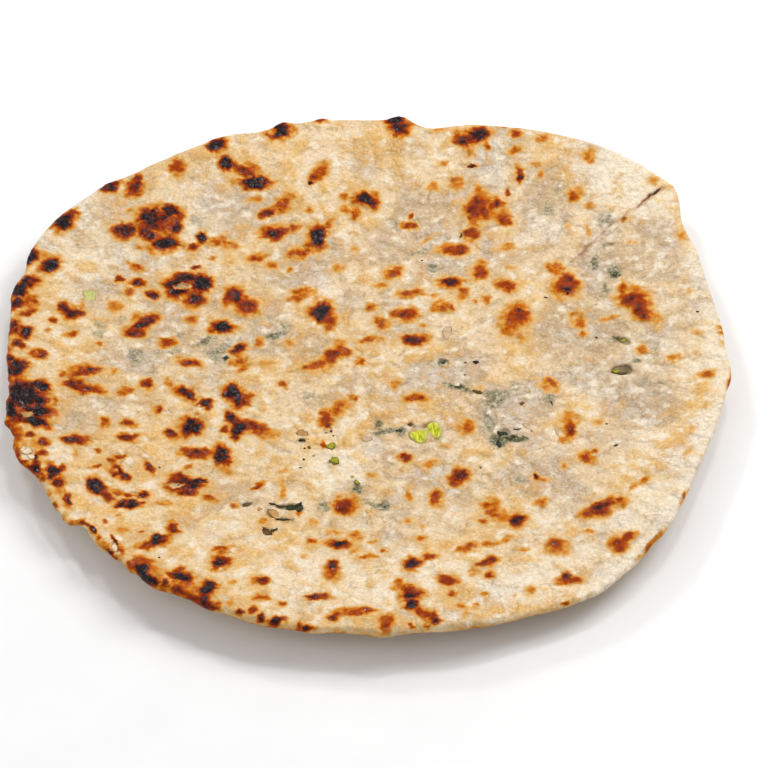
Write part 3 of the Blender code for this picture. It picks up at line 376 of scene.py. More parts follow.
# Creases and ridges: width, height in mm (negative is a groove), darkness of
# its painted shade, paleness of its painted highlight, then the points that it
# passes through as seen
CREASES = (
    (2.2, -0.6, 1.15, 0.0, (664, 187), (659, 189), (655, 193), (650, 194), (647, 198), (641, 203), (634, 210)),
    (2.1, -0.3, 0.55, 0.0, (638, 207), (627, 213), (622, 219), (613, 223), (607, 229)),
    (2.1, -0.3, 0.55, 0.0, (609, 226), (603, 233), (596, 240), (588, 247)),
    (2.4, -0.35, 0.75, 0.0, (594, 243), (586, 248), (582, 254), (577, 257)),
    (2.1, -0.25, 0.55, 0.0, (580, 254), (574, 260), (568, 266)),
    (5.0, 0.3, 0.0, 0.6, (662, 194), (652, 203), (638, 214), (622, 227), (606, 240), (592, 254), (584, 262)),
    (2.0, -0.4, 0.30, 0.0, (114, 450), (119, 456), (128, 454), (142, 456), (148, 464)),
    (1.8, -0.3, 0.22, 0.0, (81, 519), (88, 508), (98, 502), (110, 500), (120, 496)),
    (6.0, 0.5, 0.0, 0.9, (304, 308), (312, 298), (322, 290), (326, 284)),
    (4.0, 0.4, 0.0, 0.7, (333, 246), (341, 236), (344, 226)),
    (2.0, -0.3, 0.5, 0.0, (398, 357), (402, 353), (406, 350)),
    (2.0, -0.3, 0.5, 0.0, (391, 363), (397, 366), (400, 368)),
    (1.6, -0.25, 0.45, 0.0, (415, 366), (420, 361), (424, 358)),
    (3.0, 0.35, 0.0, 0.5, (654, 212), (658, 224), (666, 229)),
    (3.0, 0.35, 0.0, 0.5, (664, 238), (668, 252), (668, 264), (660, 272)),
    (3.5, 0.4, 0.0, 0.5, (575, 366), (586, 376), (594, 388), (600, 400)),
    (2.5, 0.35, 0.0, 0.4, (520, 438), (538, 424), (552, 416), (560, 404)),
    (2.0, -0.3, 0.3, 0.0, (590, 460), (606, 452), (620, 442)),
    (2.0, -0.3, 0.3, 0.0, (560, 492), (548, 502), (538, 512), (546, 520)),
    (3.0, 0.4, 0.0, 0.5, (545, 505), (556, 516), (566, 505)),
    (3.0, 0.35, 0.0, 0.4, (632, 556), (652, 540), (668, 516), (680, 492)),
    (2.5, -0.3, 0.3, 0.0, (622, 552), (644, 534), (660, 512)),
    (2.6, 0.3, 0.0, 0.4, (424, 380), (436, 370), (448, 352), (458, 347)),
    (2.5, -0.25, 0.25, 0.0, (390, 392), (404, 384), (414, 376)),
    (2.5, 0.35, 0.0, 0.5, (352, 400), (364, 390), (378, 384)),
    (2.2, -0.25, 0.2, 0.0, (262, 440), (278, 448), (296, 456)),
    (2.5, 0.3, 0.0, 0.5, (300, 440), (292, 428), (296, 418), (308, 412)),
    (1.6, -0.25, 0.4, 0.0, (430, 203), (428, 196), (432, 190)),
    (3.0, 0.4, 0.0, 0.6, (186, 236), (194, 228), (206, 224), (214, 226)),
    (2.0, -0.3, 0.4, 0.0, (480, 232), (496, 226), (506, 222)),
    (3.0, 0.35, 0.0, 0.5, (40, 404), (52, 396), (57, 404), (52, 414)),
    (2.4, 0.4, 0.0, 0.7, (404, 438), (408, 429), (418, 424), (430, 420), (440, 424), (445, 432), (440, 442)),
    (2.4, 0.3, 0.0, 0.5, (404, 438), (410, 446), (422, 448), (436, 444)),
    (3.0, 0.35, 0.0, 0.6, (452, 342), (462, 337), (470, 332), (484, 325), (492, 318), (503, 312)),
    (1.5, -0.15, 0.6, 0.0, (665, 524), (658, 534), (649, 545), (639, 556)),
    (1.4, -0.15, 0.5, 0.0, (686, 490), (682, 498), (678, 505)),
    (2.5, 0.3, 0.0, 0.5, (640, 372), (660, 362), (684, 364)),
    (2.0, -0.2, 0.25, 0.0, (600, 420), (612, 404), (630, 392)),
    (3.0, 0.3, 0.0, 0.5, (700, 300), (706, 330), (708, 360)),
    (2.0, -0.25, 0.3, 0.0, (548, 236), (546, 248), (541, 258)),
    (3.0, 0.3, 0.0, 0.4, (140, 460), (160, 452), (180, 448)),
    (2.4, 0.3, 0.0, 0.4, (330, 556), (360, 566), (396, 560)),
    (2.4, -0.25, 0.25, 0.0, (200, 530), (226, 540), (246, 536)),
)
# Tears in the skin: x, y, width, height, tilt, depth in mm
TEARS = (
    (426, 434, 34, 20, 8, 0.3), (411, 425, 9, 5, -20, 0.6), (427, 426, 14, 4, 20, 0.6), (181, 286, 15, 6, -5, 0.7),
    (176, 485, 18, 4, 0, 0.6), (288, 507, 26, 6, 0, 0.9), 
    (285, 520, 20, 3, 0, 0.7), (268, 532, 13, 7, 0, 0.4), (622, 370, 22, 11, 0, 0.8),
    (624, 341, 14, 7, -25, 0.7), (334, 448, 8, 5, 0, 0.3), (336, 465, 9, 4, 0, 0.3),
    (655, 192, 13, 3.4, 34, 0.9), (649, 196, 7, 2.6, 44, 0.8), (623, 219, 4, 4, 0, 0.3),
    (115, 547, 6, 12, 20, 0.7), (503, 433, 14, 8, 0, 0.6), (245, 504, 12, 4, 10, 0.5),
    (92, 296, 16, 10, 0, 0.3), (301, 441, 8, 5, 0, 0.5), (116, 470, 5, 3, -20, 0.4),
    (135, 493, 8, 3, 0, 0.4), (327, 430, 8, 8, 0, 0.5),
)

# How brown the outermost edge is: direction, half width, darkness
BORDER = (
    (190.0, 20.0, 0.70), (168.0, 14.0, 0.42), (216.0, 14.0, 0.40), (236.0, 16.0, 0.42),
    (262.0, 26.0, 0.36), (290.0, 14.0, 0.32), (135.0, 34.0, 0.30), (95.0, 30.0, 0.24),
    (84.0, 4.0, 0.75), (60.0, 20.0, 0.12), (320.0, 40.0, 0.12), (3.0, 6.0, 0.45),
)

# Small bits: x, y in the picture, then length, width, thickness and curl in mm,
# direction, how far it is sunk, and how far it bends sideways
ONION_BITS = (
    (418, 437, 7.0, 7.4, 0.9, 0.4, 10, -0.05, 0.1), (434, 431, 9.0, 5.6, 0.9, 0.4, 115, -0.05, 0.1),
)
PALE_STEM_BITS = (
    (91, 295, 5.4, 6.0, 0.5, 0.2, 20, -0.1, 0.2), (88, 299, 3.2, 3.4, 0.4, 0.2, 60, -0.05, 0.2),
)
STEM_BITS = (
    (331, 446, 4.0, 2.8, 0.5, 0.2, 25, -0.2, 0.2),
    (334, 461, 3.2, 4.0, 0.5, 0.2, 60, -0.2, 0.2), (314, 457, 1.2, 1.0, 0.3, 0.1, 30, 0.0, 0.1),
    (616, 372, 3.2, 2.6, 0.4, 0.2, 20, -0.1, 0.1), (624, 341, 3.0, 1.8, 0.4, 0.1, 30, -0.1, 0.1),
    (357, 481, 1.6, 2.4, 0.3, 0.1, 60, -0.1, 0.1), (352, 478, 1.4, 1.0, 0.3, 0.1, 20, 0.0, 0.1),
)
HERB_BITS = (
    (400, 431, 3.4, 2.2, 0.4, 0.3, 30, 0.05, 0.2), (503, 433, 4.2, 2.6, 0.4, 0.3, 10, 0.05, 0.2),
    (498, 445, 3.0, 2.6, 0.4, 0.3, 60, 0.05, 0.2), (553, 403, 1.0, 2.6, 0.3, 0.1, 10, 0.05, 0.1),
    (304, 440, 3.0, 1.3, 0.4, 0.1, 10, -0.1, 0.2),
    (273, 505, 3.4, 1.0, 0.4, 0.1, 4, -0.15, 0.1), (282, 506, 4.8, 1.6, 0.4, 0.2, -4, -0.15, 0.2),
    (292, 507, 6.0, 3.0, 0.4, 0.3, -8, -0.2, 0.2), (299, 509, 3.0, 3.2, 0.4, 0.2, 40, -0.2, 0.2),
    (299, 504, 2.4, 1.2, 0.4, 0.1, 10, -0.2, 0.2), (265, 529, 2.6, 1.2, 0.3, 0.1, -30, -0.15, 0.2), (461, 237, 3.0, 1.0, 0.4, 0.2, 70, 0.05, 0.4),
    (284, 520, 5.6, 0.9, 0.3, 0.2, 4, -0.15, 0.3), (275, 529, 4.8, 1.1, 0.3, 0.2, 8, -0.3, 0.3), (245, 504, 3.2, 1.2, 0.3, 0.2, 8, 0.05, 0.1),
    (226, 358, 2.6, 2.0, 0.3, 0.2, 60, 0.1, 0.2), (443, 361, 3.0, 1.8, 0.3, 0.2, 20, 0.12, 0.2),
)
HUSK_BITS = (
    (268, 533, 5.4, 4.6, 0.4, 0.2, 10, -0.3, 0.3), (521, 403, 1.7, 2.4, 0.3, 0.1, 120, 0.0, 0.2),
    (514, 429, 5.2, 0.7, 0.3, 0.2, -8, 0.0, 0.4), (526, 437, 0.8, 3.0, 0.3, 0.1, 60, 0.0, 0.2),
    (478, 392, 3.4, 1.8, 0.3, 0.1, -8, 0.02, 0.2), (466, 362, 1.3, 0.8, 0.3, 0.1, 30, 0.0, 0.1), (465, 374, 0.8, 1.0, 0.3, 0.1, 0, 0.0, 0.1), (411, 424, 3.4, 2.4, 0.4, 0.2, 30, 0.0, 0.2),
    (622, 373, 3.4, 2.6, 0.3, 0.2, -20, -0.05, 0.2), (309, 448, 1.2, 1.8, 0.3, 0.1, 30, 0.05, 0.3),
    (247, 505, 3.2, 1.2, 0.3, 0.2, 15, 0.0, 0.2),
)
POD_BITS = (
    (474, 370, 7.4, 11.8, 0.5, 0.1, -8, 0.09, 0.1), (447, 331, 3.8, 9.4, 0.5, 0.1, -4, 0.09, 0.1),
    (528, 428, 1.8, 5.6, 0.4, 0.1, 35, 0.02, 0.1), (557, 432, 1.5, 5.4, 0.4, 0.1, 0, 0.02, 0.1),
    (366, 439, 4.4, 3.0, 0.4, 0.1, -20, 0.09, 0.2), (385, 456, 2.0, 5.6, 0.4, 0.1, 10, 0.1, 0.2),
)
TAN_SKIN = (
    (277, 514, 7.4, 6.2, 0.3, 0.5, 8, 0.06, 0.3), (302, 434, 4.4, 5.4, 0.3, 0.1, 10, -0.2, 0.1),
    (27, 414, 6.0, 3.0, 0.3, 0.2, 15, -0.1, 0.2), (259, 508, 1.8, 1.8, 0.3, 0.1, 0, 0.0, 0.1),
)
LOOSE_SKIN = (
    (27, 452, 4.6, 4.0, 0.4, 0.5, 40, -0.2, 0.2), (31, 457, 3.0, 2.6, 0.4, 0.4, 10, -0.2, 0.2),
    (22, 448, 2.8, 1.8, 0.4, 0.3, 60, -0.1, 0.2), (114, 547, 2.4, 4.4, 0.4, 0.4, 30, -0.1, 0.2),
)
PEPPER_SPECKS = (
    (301, 441, 2.2, 1.4, 0.8, 0.1, 10, 0.1, 0.1), (305, 449, 1.0, 1.0, 0.6, 0.0, 0, 0.1, 0.0),
    (304, 460, 1.2, 1.2, 0.6, 0.0, 0, 0.1, 0.0), (300, 468, 1.8, 0.7, 0.5, 0.0, 0, 0.1, 0.0),
    (476, 363, 2.4, 2.0, 0.5, 0.0, 0, 0.0, 0.1), (545, 297, 1.0, 1.9, 0.6, 0.0, 70, 0.1, 0.0),
    (697, 311, 1.0, 1.8, 0.6, 0.0, 60, 0.1, 0.0), (422, 261, 1.2, 1.0, 0.5, 0.0, 0, 0.1, 0.0),
    (616, 446, 2.3, 1.6, 0.6, 0.0, 20, 0.1, 0.1), (607, 424, 1.2, 0.9, 0.5, 0.0, 0, 0.1, 0.0),
    (326, 433, 1.5, 1.1, 0.5, 0.0, 20, 0.1, 0.1), (331, 431, 1.0, 1.5, 0.5, 0.0, 0, 0.1, 0.0),
    (333, 436, 1.0, 0.9, 0.5, 0.0, 0, 0.1, 0.0), (160, 557, 1.2, 1.0, 0.5, 0.0, 0, 0.1, 0.0), (160, 467, 1.0, 1.0, 0.5, 0.0, 0, 0.1, 0.0),
    (310, 183, 1.3, 1.2, 0.5, 0.0, 0, 0.1, 0.0), (472, 167, 1.6, 1.1, 0.5, 0.0, 20, 0.1, 0.0),
    (480, 468, 1.2, 1.0, 0.4, 0.0, 0, 0.12, 0.0), (596, 338, 1.2, 1.0, 0.4, 0.0, 0, 0.12, 0.0),
)


def crust_flakes():
    """Small crumbs of char on the darkest blisters."""
    dice = np.random.default_rng(77)
    flakes = []
    for x, y, width, height, dark, tilt in SPOTS:
        if dark < 0.93 or width < 14:
            continue
        for _ in range(int(dice.integers(1, 4))):
            flakes.append((
                x + float(dice.uniform(-0.3, 0.3)) * width,
                y + float(dice.uniform(-0.3, 0.3)) * height,
                float(dice.uniform(0.5, 1.4)), float(dice.uniform(0.4, 0.9)),
                float(dice.uniform(0.25, 0.45)), float(dice.uniform(0.0, 0.3)),
                float(dice.uniform(0, 180)), 0.05, 0.0,
            ))
    return flakes


CRUST_FLAKES = crust_flakes()

# Colours, as they look (sRGB, 0 to 255)
CREAM = (236, 208, 168)
BUTTER = (236, 196, 130)
TAN = (204, 174, 136)
GOLD = (228, 174, 98)
HONEY = (222, 176, 124)
MILK = (228, 216, 200)
CHALK_AND_HIGHLIGHT = (246, 231, 206)
GREYED = (184, 156, 122)
LEAFY, SLATE, MURKY, MILKY = (112, 109, 78), (146, 140, 114), (62, 58, 40), (194, 180, 150)
WINDOW, WINDOW_DARK = (142, 120, 64), (66, 52, 28)
# painted shade for creases, grooves and the rings inside tears, darker where a tear is deeper
CREVICE_SHADE, DEEP_CREVICE_SHADE = (142, 78, 20), (66, 26, 6)
# painted highlights for the marks: tawny glints, and grey sheen on the char
TAWNY_GLINT, CHAR_SHEEN = (214, 132, 58), (92, 78, 88)
# painted shade inside the hairline wrinkles
WRINKLE_SHADE = (158, 120, 84)
TOAST_COLOURS = (
    (0.00, (232, 196, 146)), (0.14, (228, 184, 120)), (0.25, (222, 168, 94)),
    (0.36, (214, 140, 48)), (0.47, (202, 112, 18)), (0.58, (176, 76, 0)),
    (0.70, (158, 56, 0)), (0.81, (132, 38, 0)), (0.88, (92, 26, 4)),
    (0.94, (50, 18, 14)), (1.00, (26, 14, 19)),
)


def linear(rgb):
    """The surface colour that looks like an sRGB colour under this light."""
    share = np.asarray(rgb, float) / 255.0
    low, high = share / 12.92, ((share + 0.055) / 1.055) ** 2.4
    return tuple(np.where(share <= 0.04045, low, high) / LIGHT) + (1.0,)


# ------------------------------------------------------------ shape functions
def smooth(t):
    t = np.clip(t, 0.0, 1.0)
    return t * t * (3.0 - 2.0 * t)


def turn_between(angle, centre):
    return (angle - centre + 180.0) % 360.0 - 180.0


def arc_mask(angle, start, end, soft):
    middle, half = (start + end) / 2, (end - start) / 2
    return smooth((half - np.abs(turn_between(angle, middle))) / soft + 0.5)


def lattice_noise(x, y, seed):
    """Smooth noise from about -1 to 1, with one feature per unit of length."""
    x, y = np.asarray(x, float), np.asarray(y, float)
    cell_x, cell_y = np.floor(x).astype(np.int64), np.floor(y).astype(np.int64)
    fx, fy = x - cell_x, y - cell_y

    def corner(dx, dy):
        n = (cell_x + dx) * 374761393 + (cell_y + dy) * 668265263 + seed * 362437
        n = (n ^ (n >> 13)) & 0x7FFFFFFF
        n = (n * 1274126177) & 0x7FFFFFFF
        n = (n ^ (n >> 16)) & 0xFFFF
        turn = n * (2 * np.pi / 65536.0)
        return np.cos(turn) * (fx - dx) + np.sin(turn) * (fy - dy)

    sx = fx**3 * (fx * (fx * 6 - 15) + 10)
    sy = fy**3 * (fy * (fy * 6 - 15) + 10)
    low = corner(0, 0) + (corner(1, 0) - corner(0, 0)) * sx
    high = corner(0, 1) + (corner(1, 1) - corner(0, 1)) * sx
    return (low + (high - low) * sy) * 1.5


def layered_noise(x, y, size, octaves, seed, gain=0.5):
    """Noise with features of a size in mm, and finer ones on top."""
    total, weight, scale = 0.0, 1.0, 1.0 / size
    for octave in range(octaves):
        total = total + weight * lattice_noise(
            x * scale + 17.3 * octave, y * scale - 9.1 * octave, seed + octave
        )
        weight, scale = weight * gain, scale * 2.03
    return total


def plain_rim_radius(angle):
    radius = np.full_like(angle, MEAN_RADIUS)
    for centre, width, height in LOBES:
        radius = radius + height * np.exp(-((turn_between(angle, centre) / width) ** 2))
    past = turn_between(angle, TEAR_AT)
    set_back = 0.5 + 0.5 * np.tanh(2.0 * past / TEAR_SOFT)
    corner = np.exp(-((np.minimum(past, 0.0) / TEAR_OUT_WIDTH) ** 2))
    recover = np.exp(-np.maximum(past, 0.0) / TEAR_IN_WIDTH)
    return radius + (1 - set_back) * TEAR_OUT * corner - set_back * TEAR_IN * recover


def rim_radius(angle):
    """The outline with its small raggedness, strongest on the flaky border."""
    turn = np.radians(angle)
    circle_x, circle_y = 30.0 * np.cos(turn), 30.0 * np.sin(turn)
    ragged = layered_noise(circle_x, circle_y, 2.2, 3, 71, 0.6)
    flaky = arc_mask(angle, 186.0, 236.0, 10.0)
    burnt = arc_mask(angle, 152.0, 200.0, 10.0)
    return plain_rim_radius(angle) + ragged * (0.28 + 0.75 * flaky + 0.3 * burnt)


def soft_rim_radius(angle):
    radius = np.full_like(angle, MEAN_RADIUS)
    for centre, width, height in LOBES:
        if width >= 11.0:
            turn = turn_between(angle, centre)
            radius = radius + height * np.exp(-((turn / width) ** 2))
    return radius


def plan_point(share, angle):
    soft, full = soft_rim_radius(angle), rim_radius(angle)
    radius = share * (soft + (full - soft) * share**10)
    turn = np.radians(angle)
    return radius * np.cos(turn), radius * np.sin(turn)


def underside(share, angle):
    turn = np.radians(angle)
    foot = (FOOT_RADIUS + FOOT_WANDER * np.cos(2 * turn - 0.9)) / MEAN_RADIUS
    lift = RIM_LIFT + RIM_WAVE * (
        0.6 * np.cos(2 * turn - 0.4)
        + 0.5 * np.sin(3 * turn + 0.7)
        + 0.4 * np.cos(5 * turn + 2.1)
        + 0.3 * np.sin(8 * turn)
    )
    rise = np.clip((share - foot) / (1.0 - foot), 0.0, 1.0)
    return lift * (0.65 * smooth(rise) + 0.35 * rise**2)


def puff_thickness(share, angle):
    puff = arc_mask(angle, PUFF_FROM, PUFF_TO, 12.0)
    wave = 0.5 + 0.5 * np.sin(np.radians(angle) * 23.0 + 0.6)
    near = smooth((share - 0.915) / 0.06)
    return PUFF_THICKNESS * puff * near * (0.45 + 0.55 * wave)


def thickness(share, angle):
    towards = smooth((share - 0.42) / 0.5)
    plain = MIDDLE_THICKNESS + (EDGE_THICKNESS - MIDDLE_THICKNESS) * towards
    return plain + puff_thickness(share, angle)


def along_line(x, y, start, end):
    run_x, run_y = end[0] - start[0], end[1] - start[1]
    length = math.hypot(run_x, run_y)
    run_x, run_y = run_x / length, run_y / length
    along = (x - start[0]) * run_x + (y - start[1]) * run_y
    left = (y - start[1]) * run_x - (x - start[0]) * run_y
    return along, left, length


def seam_relief(x, y):
    along, left, length = along_line(x, y, SEAM_START, SEAM_END)
    left = left - SEAM_BOW * np.sin(np.pi * np.clip(along / length, 0.0, 1.0))
    left = left + 0.8 * layered_noise(along, 0 * along, 9.0, 3, 5)
    fade = 1.0 - smooth((along - 0.15 * length) / (0.8 * length))
    layer = smooth(left / 1.8 + 0.5) * np.exp(-np.maximum(left, 0.0) / 26.0)
    groove = np.exp(-((left + 1.0) ** 2) / 0.3) * (along < length)
    groove = groove * (1.0 - 0.65 * smooth((along - 0.16 * length) / (0.12 * length)))
    return fade * (SEAM_STEP * layer - SEAM_GROOVE * groove)


def torn_relief(x, y):
    along, left, length = along_line(x, y, TORN_START, TORN_END)
    left = left + 0.9 * layered_noise(along, 0 * along, 6.0, 3, 8)
    near = 1.0 - smooth((along - 0.35 * length) / (0.65 * length))
    lower = smooth(left / 1.6 + 0.5) * np.exp(-np.maximum(left, 0.0) / 18.0)
    return -TORN_STEP * near * lower


def wrinkle_relief(x, y):
    angle = np.degrees(np.arctan2(y, x)) % 360.0
    radius = np.hypot(x, y) + 1.5 * layered_noise(x, y, 14.0, 2, 12)
    height = np.zeros_like(x)
    for start, end, at, tall in WRINKLES:
        ridge = np.exp(-(((radius - at) / WRINKLE_WIDTH) ** 2))
        height = height + tall * ridge * arc_mask(angle, start, end, 8.0)
    return height


def blister_relief(x, y):
    height = np.zeros_like(x)
    for at_x, at_y, long, wide, direction, tall in BLISTERS:
        turn = math.radians(direction)
        u = (x - at_x) * math.cos(turn) + (y - at_y) * math.sin(turn)
        v = (y - at_y) * math.cos(turn) - (x - at_x) * math.sin(turn)
        height = height + tall * np.exp(-((u / long) ** 2 + (v / wide) ** 2) * 1.3)
    return height


def lump_relief(x, y):
    return LUMP * (
        np.sin(x / 17.0 + 0.8) * np.cos(y / 21.0 - 0.4)
        + 0.7 * np.sin((x + 1.7 * y) / 26.0 + 1.9)
        + 0.6 * np.cos((1.6 * x - y) / 31.0 - 0.7)
    )


# ----------------------------------------------------------------- the camera
def camera_axes():
    rise = math.radians(CAMERA_ELEVATION)
    back = np.array([0.0, -math.cos(rise), math.sin(rise)])
    right = np.array([1.0, 0.0, 0.0])
    up = np.cross(back, right)
    place = np.array(CAMERA_AIM) + back * CAMERA_DISTANCE
    return right, up, back, place


def seen_at(x, y, z):
    """Where a point in mm shows in the picture."""
    right, up, back, place = camera_axes()
    offset = np.stack([x, y, z], axis=-1) * MM - place
    depth = -(offset @ back)
    scale = CAMERA_LENS / 36.0 * PICTURE
    across = PICTURE / 2 + scale * (offset @ right) / depth
    down = PICTURE / 2 - scale * (offset @ up) / depth
    return across, down


# ------------------------------------------------------- fields on the surface
def own_frame(across, down, x, y, width, height, tilt):
    """Places measured from the middle of a tilted oval, in its half sizes."""
    turn = math.radians(tilt)
    u = (across - x) * math.cos(turn) - (down - y) * math.sin(turn)
    v = (across - x) * math.sin(turn) + (down - y) * math.cos(turn)
    return u / (width / 2), v / (height / 2)


def inside(across, down, x, y, width, height, tilt):
    """0 at the middle of a tilted oval, 1 on its outline."""
    return np.hypot(*own_frame(across, down, x, y, width, height, tilt))


def frayed(u, v, number, dark, size):
    """Distance from a mark's middle, with lobes and thin spikes round it."""
    turn = np.arctan2(v, u)
    dice = np.random.default_rng(500 + number)
    reach = 1.0
    for lobes, tall in ((2, 0.05), (3, 0.07), (5, 0.05), (8, 0.04)):
        reach = reach + tall * np.sin(lobes * turn + dice.uniform(0, 2 * np.pi))
    spikes = 0.5 + 0.5 * np.sin(int(dice.integers(11, 17)) * turn + dice.uniform(0, 6))
    tall = 0.18 * smooth((dark - 0.5) / 0.4) * smooth((size - 9.0) / 10.0)
    reach = reach + tall * (spikes**3 - 0.3) * (0.6 + 0.4 * np.sin(2 * turn + number))
    return np.hypot(u, v) / reach


def patches(across, down, table, edge):
    """Strongest of some soft ovals at each point; edge is the fading share."""
    total = np.zeros_like(across)
    for x, y, width, height, tilt, strength in table:
        reach = 0.5 * max(width, height) * (1 + edge) + 2
        near = (np.abs(across - x) < reach) & (np.abs(down - y) < reach)
        q = inside(across[near], down[near], x, y, width, height, tilt)
        value = strength * smooth((1.0 + edge - q) / (2 * edge))
        total[near] = np.maximum(total[near], value)
    return total


def line_distance(across, down, points):
    """Distance in the picture to a broken line, and the share along it."""
    best = np.full_like(across, 1e9)
    share = np.zeros_like(across)
    count = len(points) - 1
    for k, (a, b) in enumerate(zip(points, points[1:])):
        run = np.array([b[0] - a[0], b[1] - a[1]], float)
        size = run @ run
        t = ((across - a[0]) * run[0] + (down - a[1]) * run[1]) / size
        t = np.clip(t, 0.0, 1.0)
        gap = np.hypot(across - a[0] - t * run[0], down - a[1] - t * run[1])
        closer = gap < best
        best = np.where(closer, gap, best)
        share = np.where(closer, (k + t) / count, share)
    return best, share


def warped(across, down, x, y, amount):
    """Picture places shifted by noise, which makes the outlines uneven."""
    shift_x = layered_noise(x, y, 5.5, 3, 31, 0.6) * amount
    shift_y = layered_noise(x, y, 5.5, 3, 47, 0.6) * amount * 0.8
    return across + shift_x, down + shift_y


def mark_profile(q, dark):
    """Dark in its middle, then red-brown, orange and golden towards its edge."""
    start = 0.30 + 0.17 * smooth((dark - 0.5) / 0.4)
    core = 1.0 - smooth((q - start) / 0.80)
    skirt = 1.0 - smooth((q - 0.50) / 1.45)
    return dark * (1.0 + 0.05 * smooth((dark - 0.88) / 0.06)) * (0.5 * core + 0.5 * skirt)


def merged(first, second):
    """Where marks overlap they are a little darker than the darker one."""
    high, low = np.maximum(first, second), np.minimum(first, second)
    return high + 0.3 * low * (1.0 - high)


def toast_fields(across, down, x, y):
    """Darkness of the spots, the golden halo round them, and their height."""
    a, d = warped(across, down, x, y, 2.2)
    a = a + 0.9 * layered_noise(x, y, 2.1, 2, 57)
    d = d + 0.7 * layered_noise(x, y, 2.1, 2, 63)
    toast = np.zeros_like(a)
    cleared = np.zeros_like(a)
    halo = np.zeros_like(a)
    rise = np.zeros_like(a)
    for number, (sx, sy, width, height, dark, tilt) in enumerate(SPOTS):
        reach = 0.5 * max(width, height) * 2.3 + 5
        near = (np.abs(a - sx) < reach) & (np.abs(d - sy) < reach)
        if not near.any():
            continue
        u, v = own_frame(a[near], d[near], sx, sy, width + 1.5, height + 1.5, tilt)
        q = frayed(u, v, number, dark, min(width, height * 1.39))
        if dark < 0:
            value = -dark * smooth((1.25 - q) / 0.6)
            cleared[near] = np.maximum(cleared[near], value)
            continue
        value = mark_profile(q, dark)
        toast[near] = merged(toast[near], value)
        if dark > 0.55 and width > 10:  # a lopsided golden fringe beside it
            at_x = sx + 0.24 * width * math.cos(2.4 * number)
            at_y = sy + 0.24 * height * math.sin(2.4 * number)
            side = inside(a[near], d[near], at_x, at_y, 1.3 * width + 2, 1.3 * height + 2, tilt)
            toast[near] = np.maximum(toast[near], 0.38 * (1.0 - smooth((side - 0.5) / 0.8)))
        ring = dark * smooth((2.3 - q) / 1.5)
        halo[near] = np.maximum(halo[near], ring)
        size = min(width, height * 1.39)
        tall = (0.08 + 0.62 * dark) * min(1.0, size / 18.0)
        dome = tall * smooth((1.3 - q) / 1.0)
        rise[near] = np.maximum(rise[near], dome)
    toast = toast * (1.0 - np.clip(cleared, 0, 1))
    return toast, halo, rise, cleared


def crease_fields(across, down, x, y):
    a, d = warped(across, down, x, y, 0.9)
    height = np.zeros_like(a)
    shade = np.zeros_like(a)
    pale = np.zeros_like(a)
    for width, tall, dark, light, *points in CREASES:
        xs, ys = [p[0] for p in points], [p[1] for p in points]
        reach = 4 * width
        near = (a > min(xs) - reach) & (a < max(xs) + reach)
        near &= (d > min(ys) - reach) & (d < max(ys) + reach)
        if not near.any():
            continue
        gap, share = line_distance(a[near], d[near], points)
        taper = smooth(share / 0.15) * smooth((1.0 - share) / 0.15) * 0.7 + 0.3
        hump = np.exp(-((gap / (width * 0.75)) ** 2)) * taper
        height[near] += tall * hump
        # painted shade along the grooves, painted highlight (paleness) along the ridges
        shade[near] = np.maximum(shade[near], dark * hump)
        pale[near] = np.maximum(pale[near], light * np.exp(-((gap / width) ** 2)) * taper)
    return height, shade, pale


def tear_fields(across, down, x, y):
    a, d = warped(across, down, x, y, 1.4)
    depth = np.zeros_like(a)
    lip = np.zeros_like(a)
    brim_shadow = np.zeros_like(a)
    for tx, ty, width, height, tilt, deep in TEARS:
        near = (np.abs(a - tx) < width) & (np.abs(d - ty) < width)
        q = inside(a[near], d[near], tx, ty, width, height, tilt)
        depth[near] = np.maximum(depth[near], deep * smooth((1.1 - q) / 0.3))
        lip[near] = np.maximum(lip[near], np.exp(-(((q - 1.25) / 0.25) ** 2)))
        # painted shadow: a dark ring just inside each tear, stronger on its upper side
        above = 0.55 + 0.45 * np.clip((ty - d[near]) / (0.5 * height), -1.0, 1.0)
        brim_shadow[near] = np.maximum(brim_shadow[near], above * np.exp(-(((q - 0.95) / 0.2) ** 2)))
    return depth, lip, brim_shadow


def fine_relief(x, y):
    """Unevenness of the griddled skin, from 8 mm swellings to 2 mm wrinkles."""
    swell = 0.22 * layered_noise(x, y, 9.0, 2, 101)
    bend_x = x + 2.0 * layered_noise(x, y, 7.0, 2, 111)
    bend_y = y + 2.0 * layered_noise(x, y, 7.0, 2, 121)
    folds = 1.0 - np.abs(layered_noise(bend_x, bend_y * 1.25, 4.2, 2, 131))
    folds = 0.16 * (folds - 0.6)
    grain = 0.07 * layered_noise(x, y, 2.4, 2, 141)
    return swell + folds + grain


# --------------------------------------------------- under side, seeded spots
def under_spots():
    dice = np.random.default_rng(20)
    spots = []
    while len(spots) < 190:
        turn, far = dice.uniform(0, 2 * np.pi), math.sqrt(dice.uniform(0, 1))
        x, y = 132 * far * math.cos(turn), 132 * far * math.sin(turn)
        size = float(dice.gamma(2.2, 1.7) + 1.8)
        dark = float(np.clip(dice.normal(0.62, 0.22), 0.25, 1.0))
        if any(math.hypot(x - s[0], y - s[1]) < (size + s[2]) * 0.62 for s in spots):
            continue
        long = size * float(dice.uniform(0.9, 1.7))
        spots.append((x, y, size, long, float(dice.uniform(0, 180)), dark))
    return spots


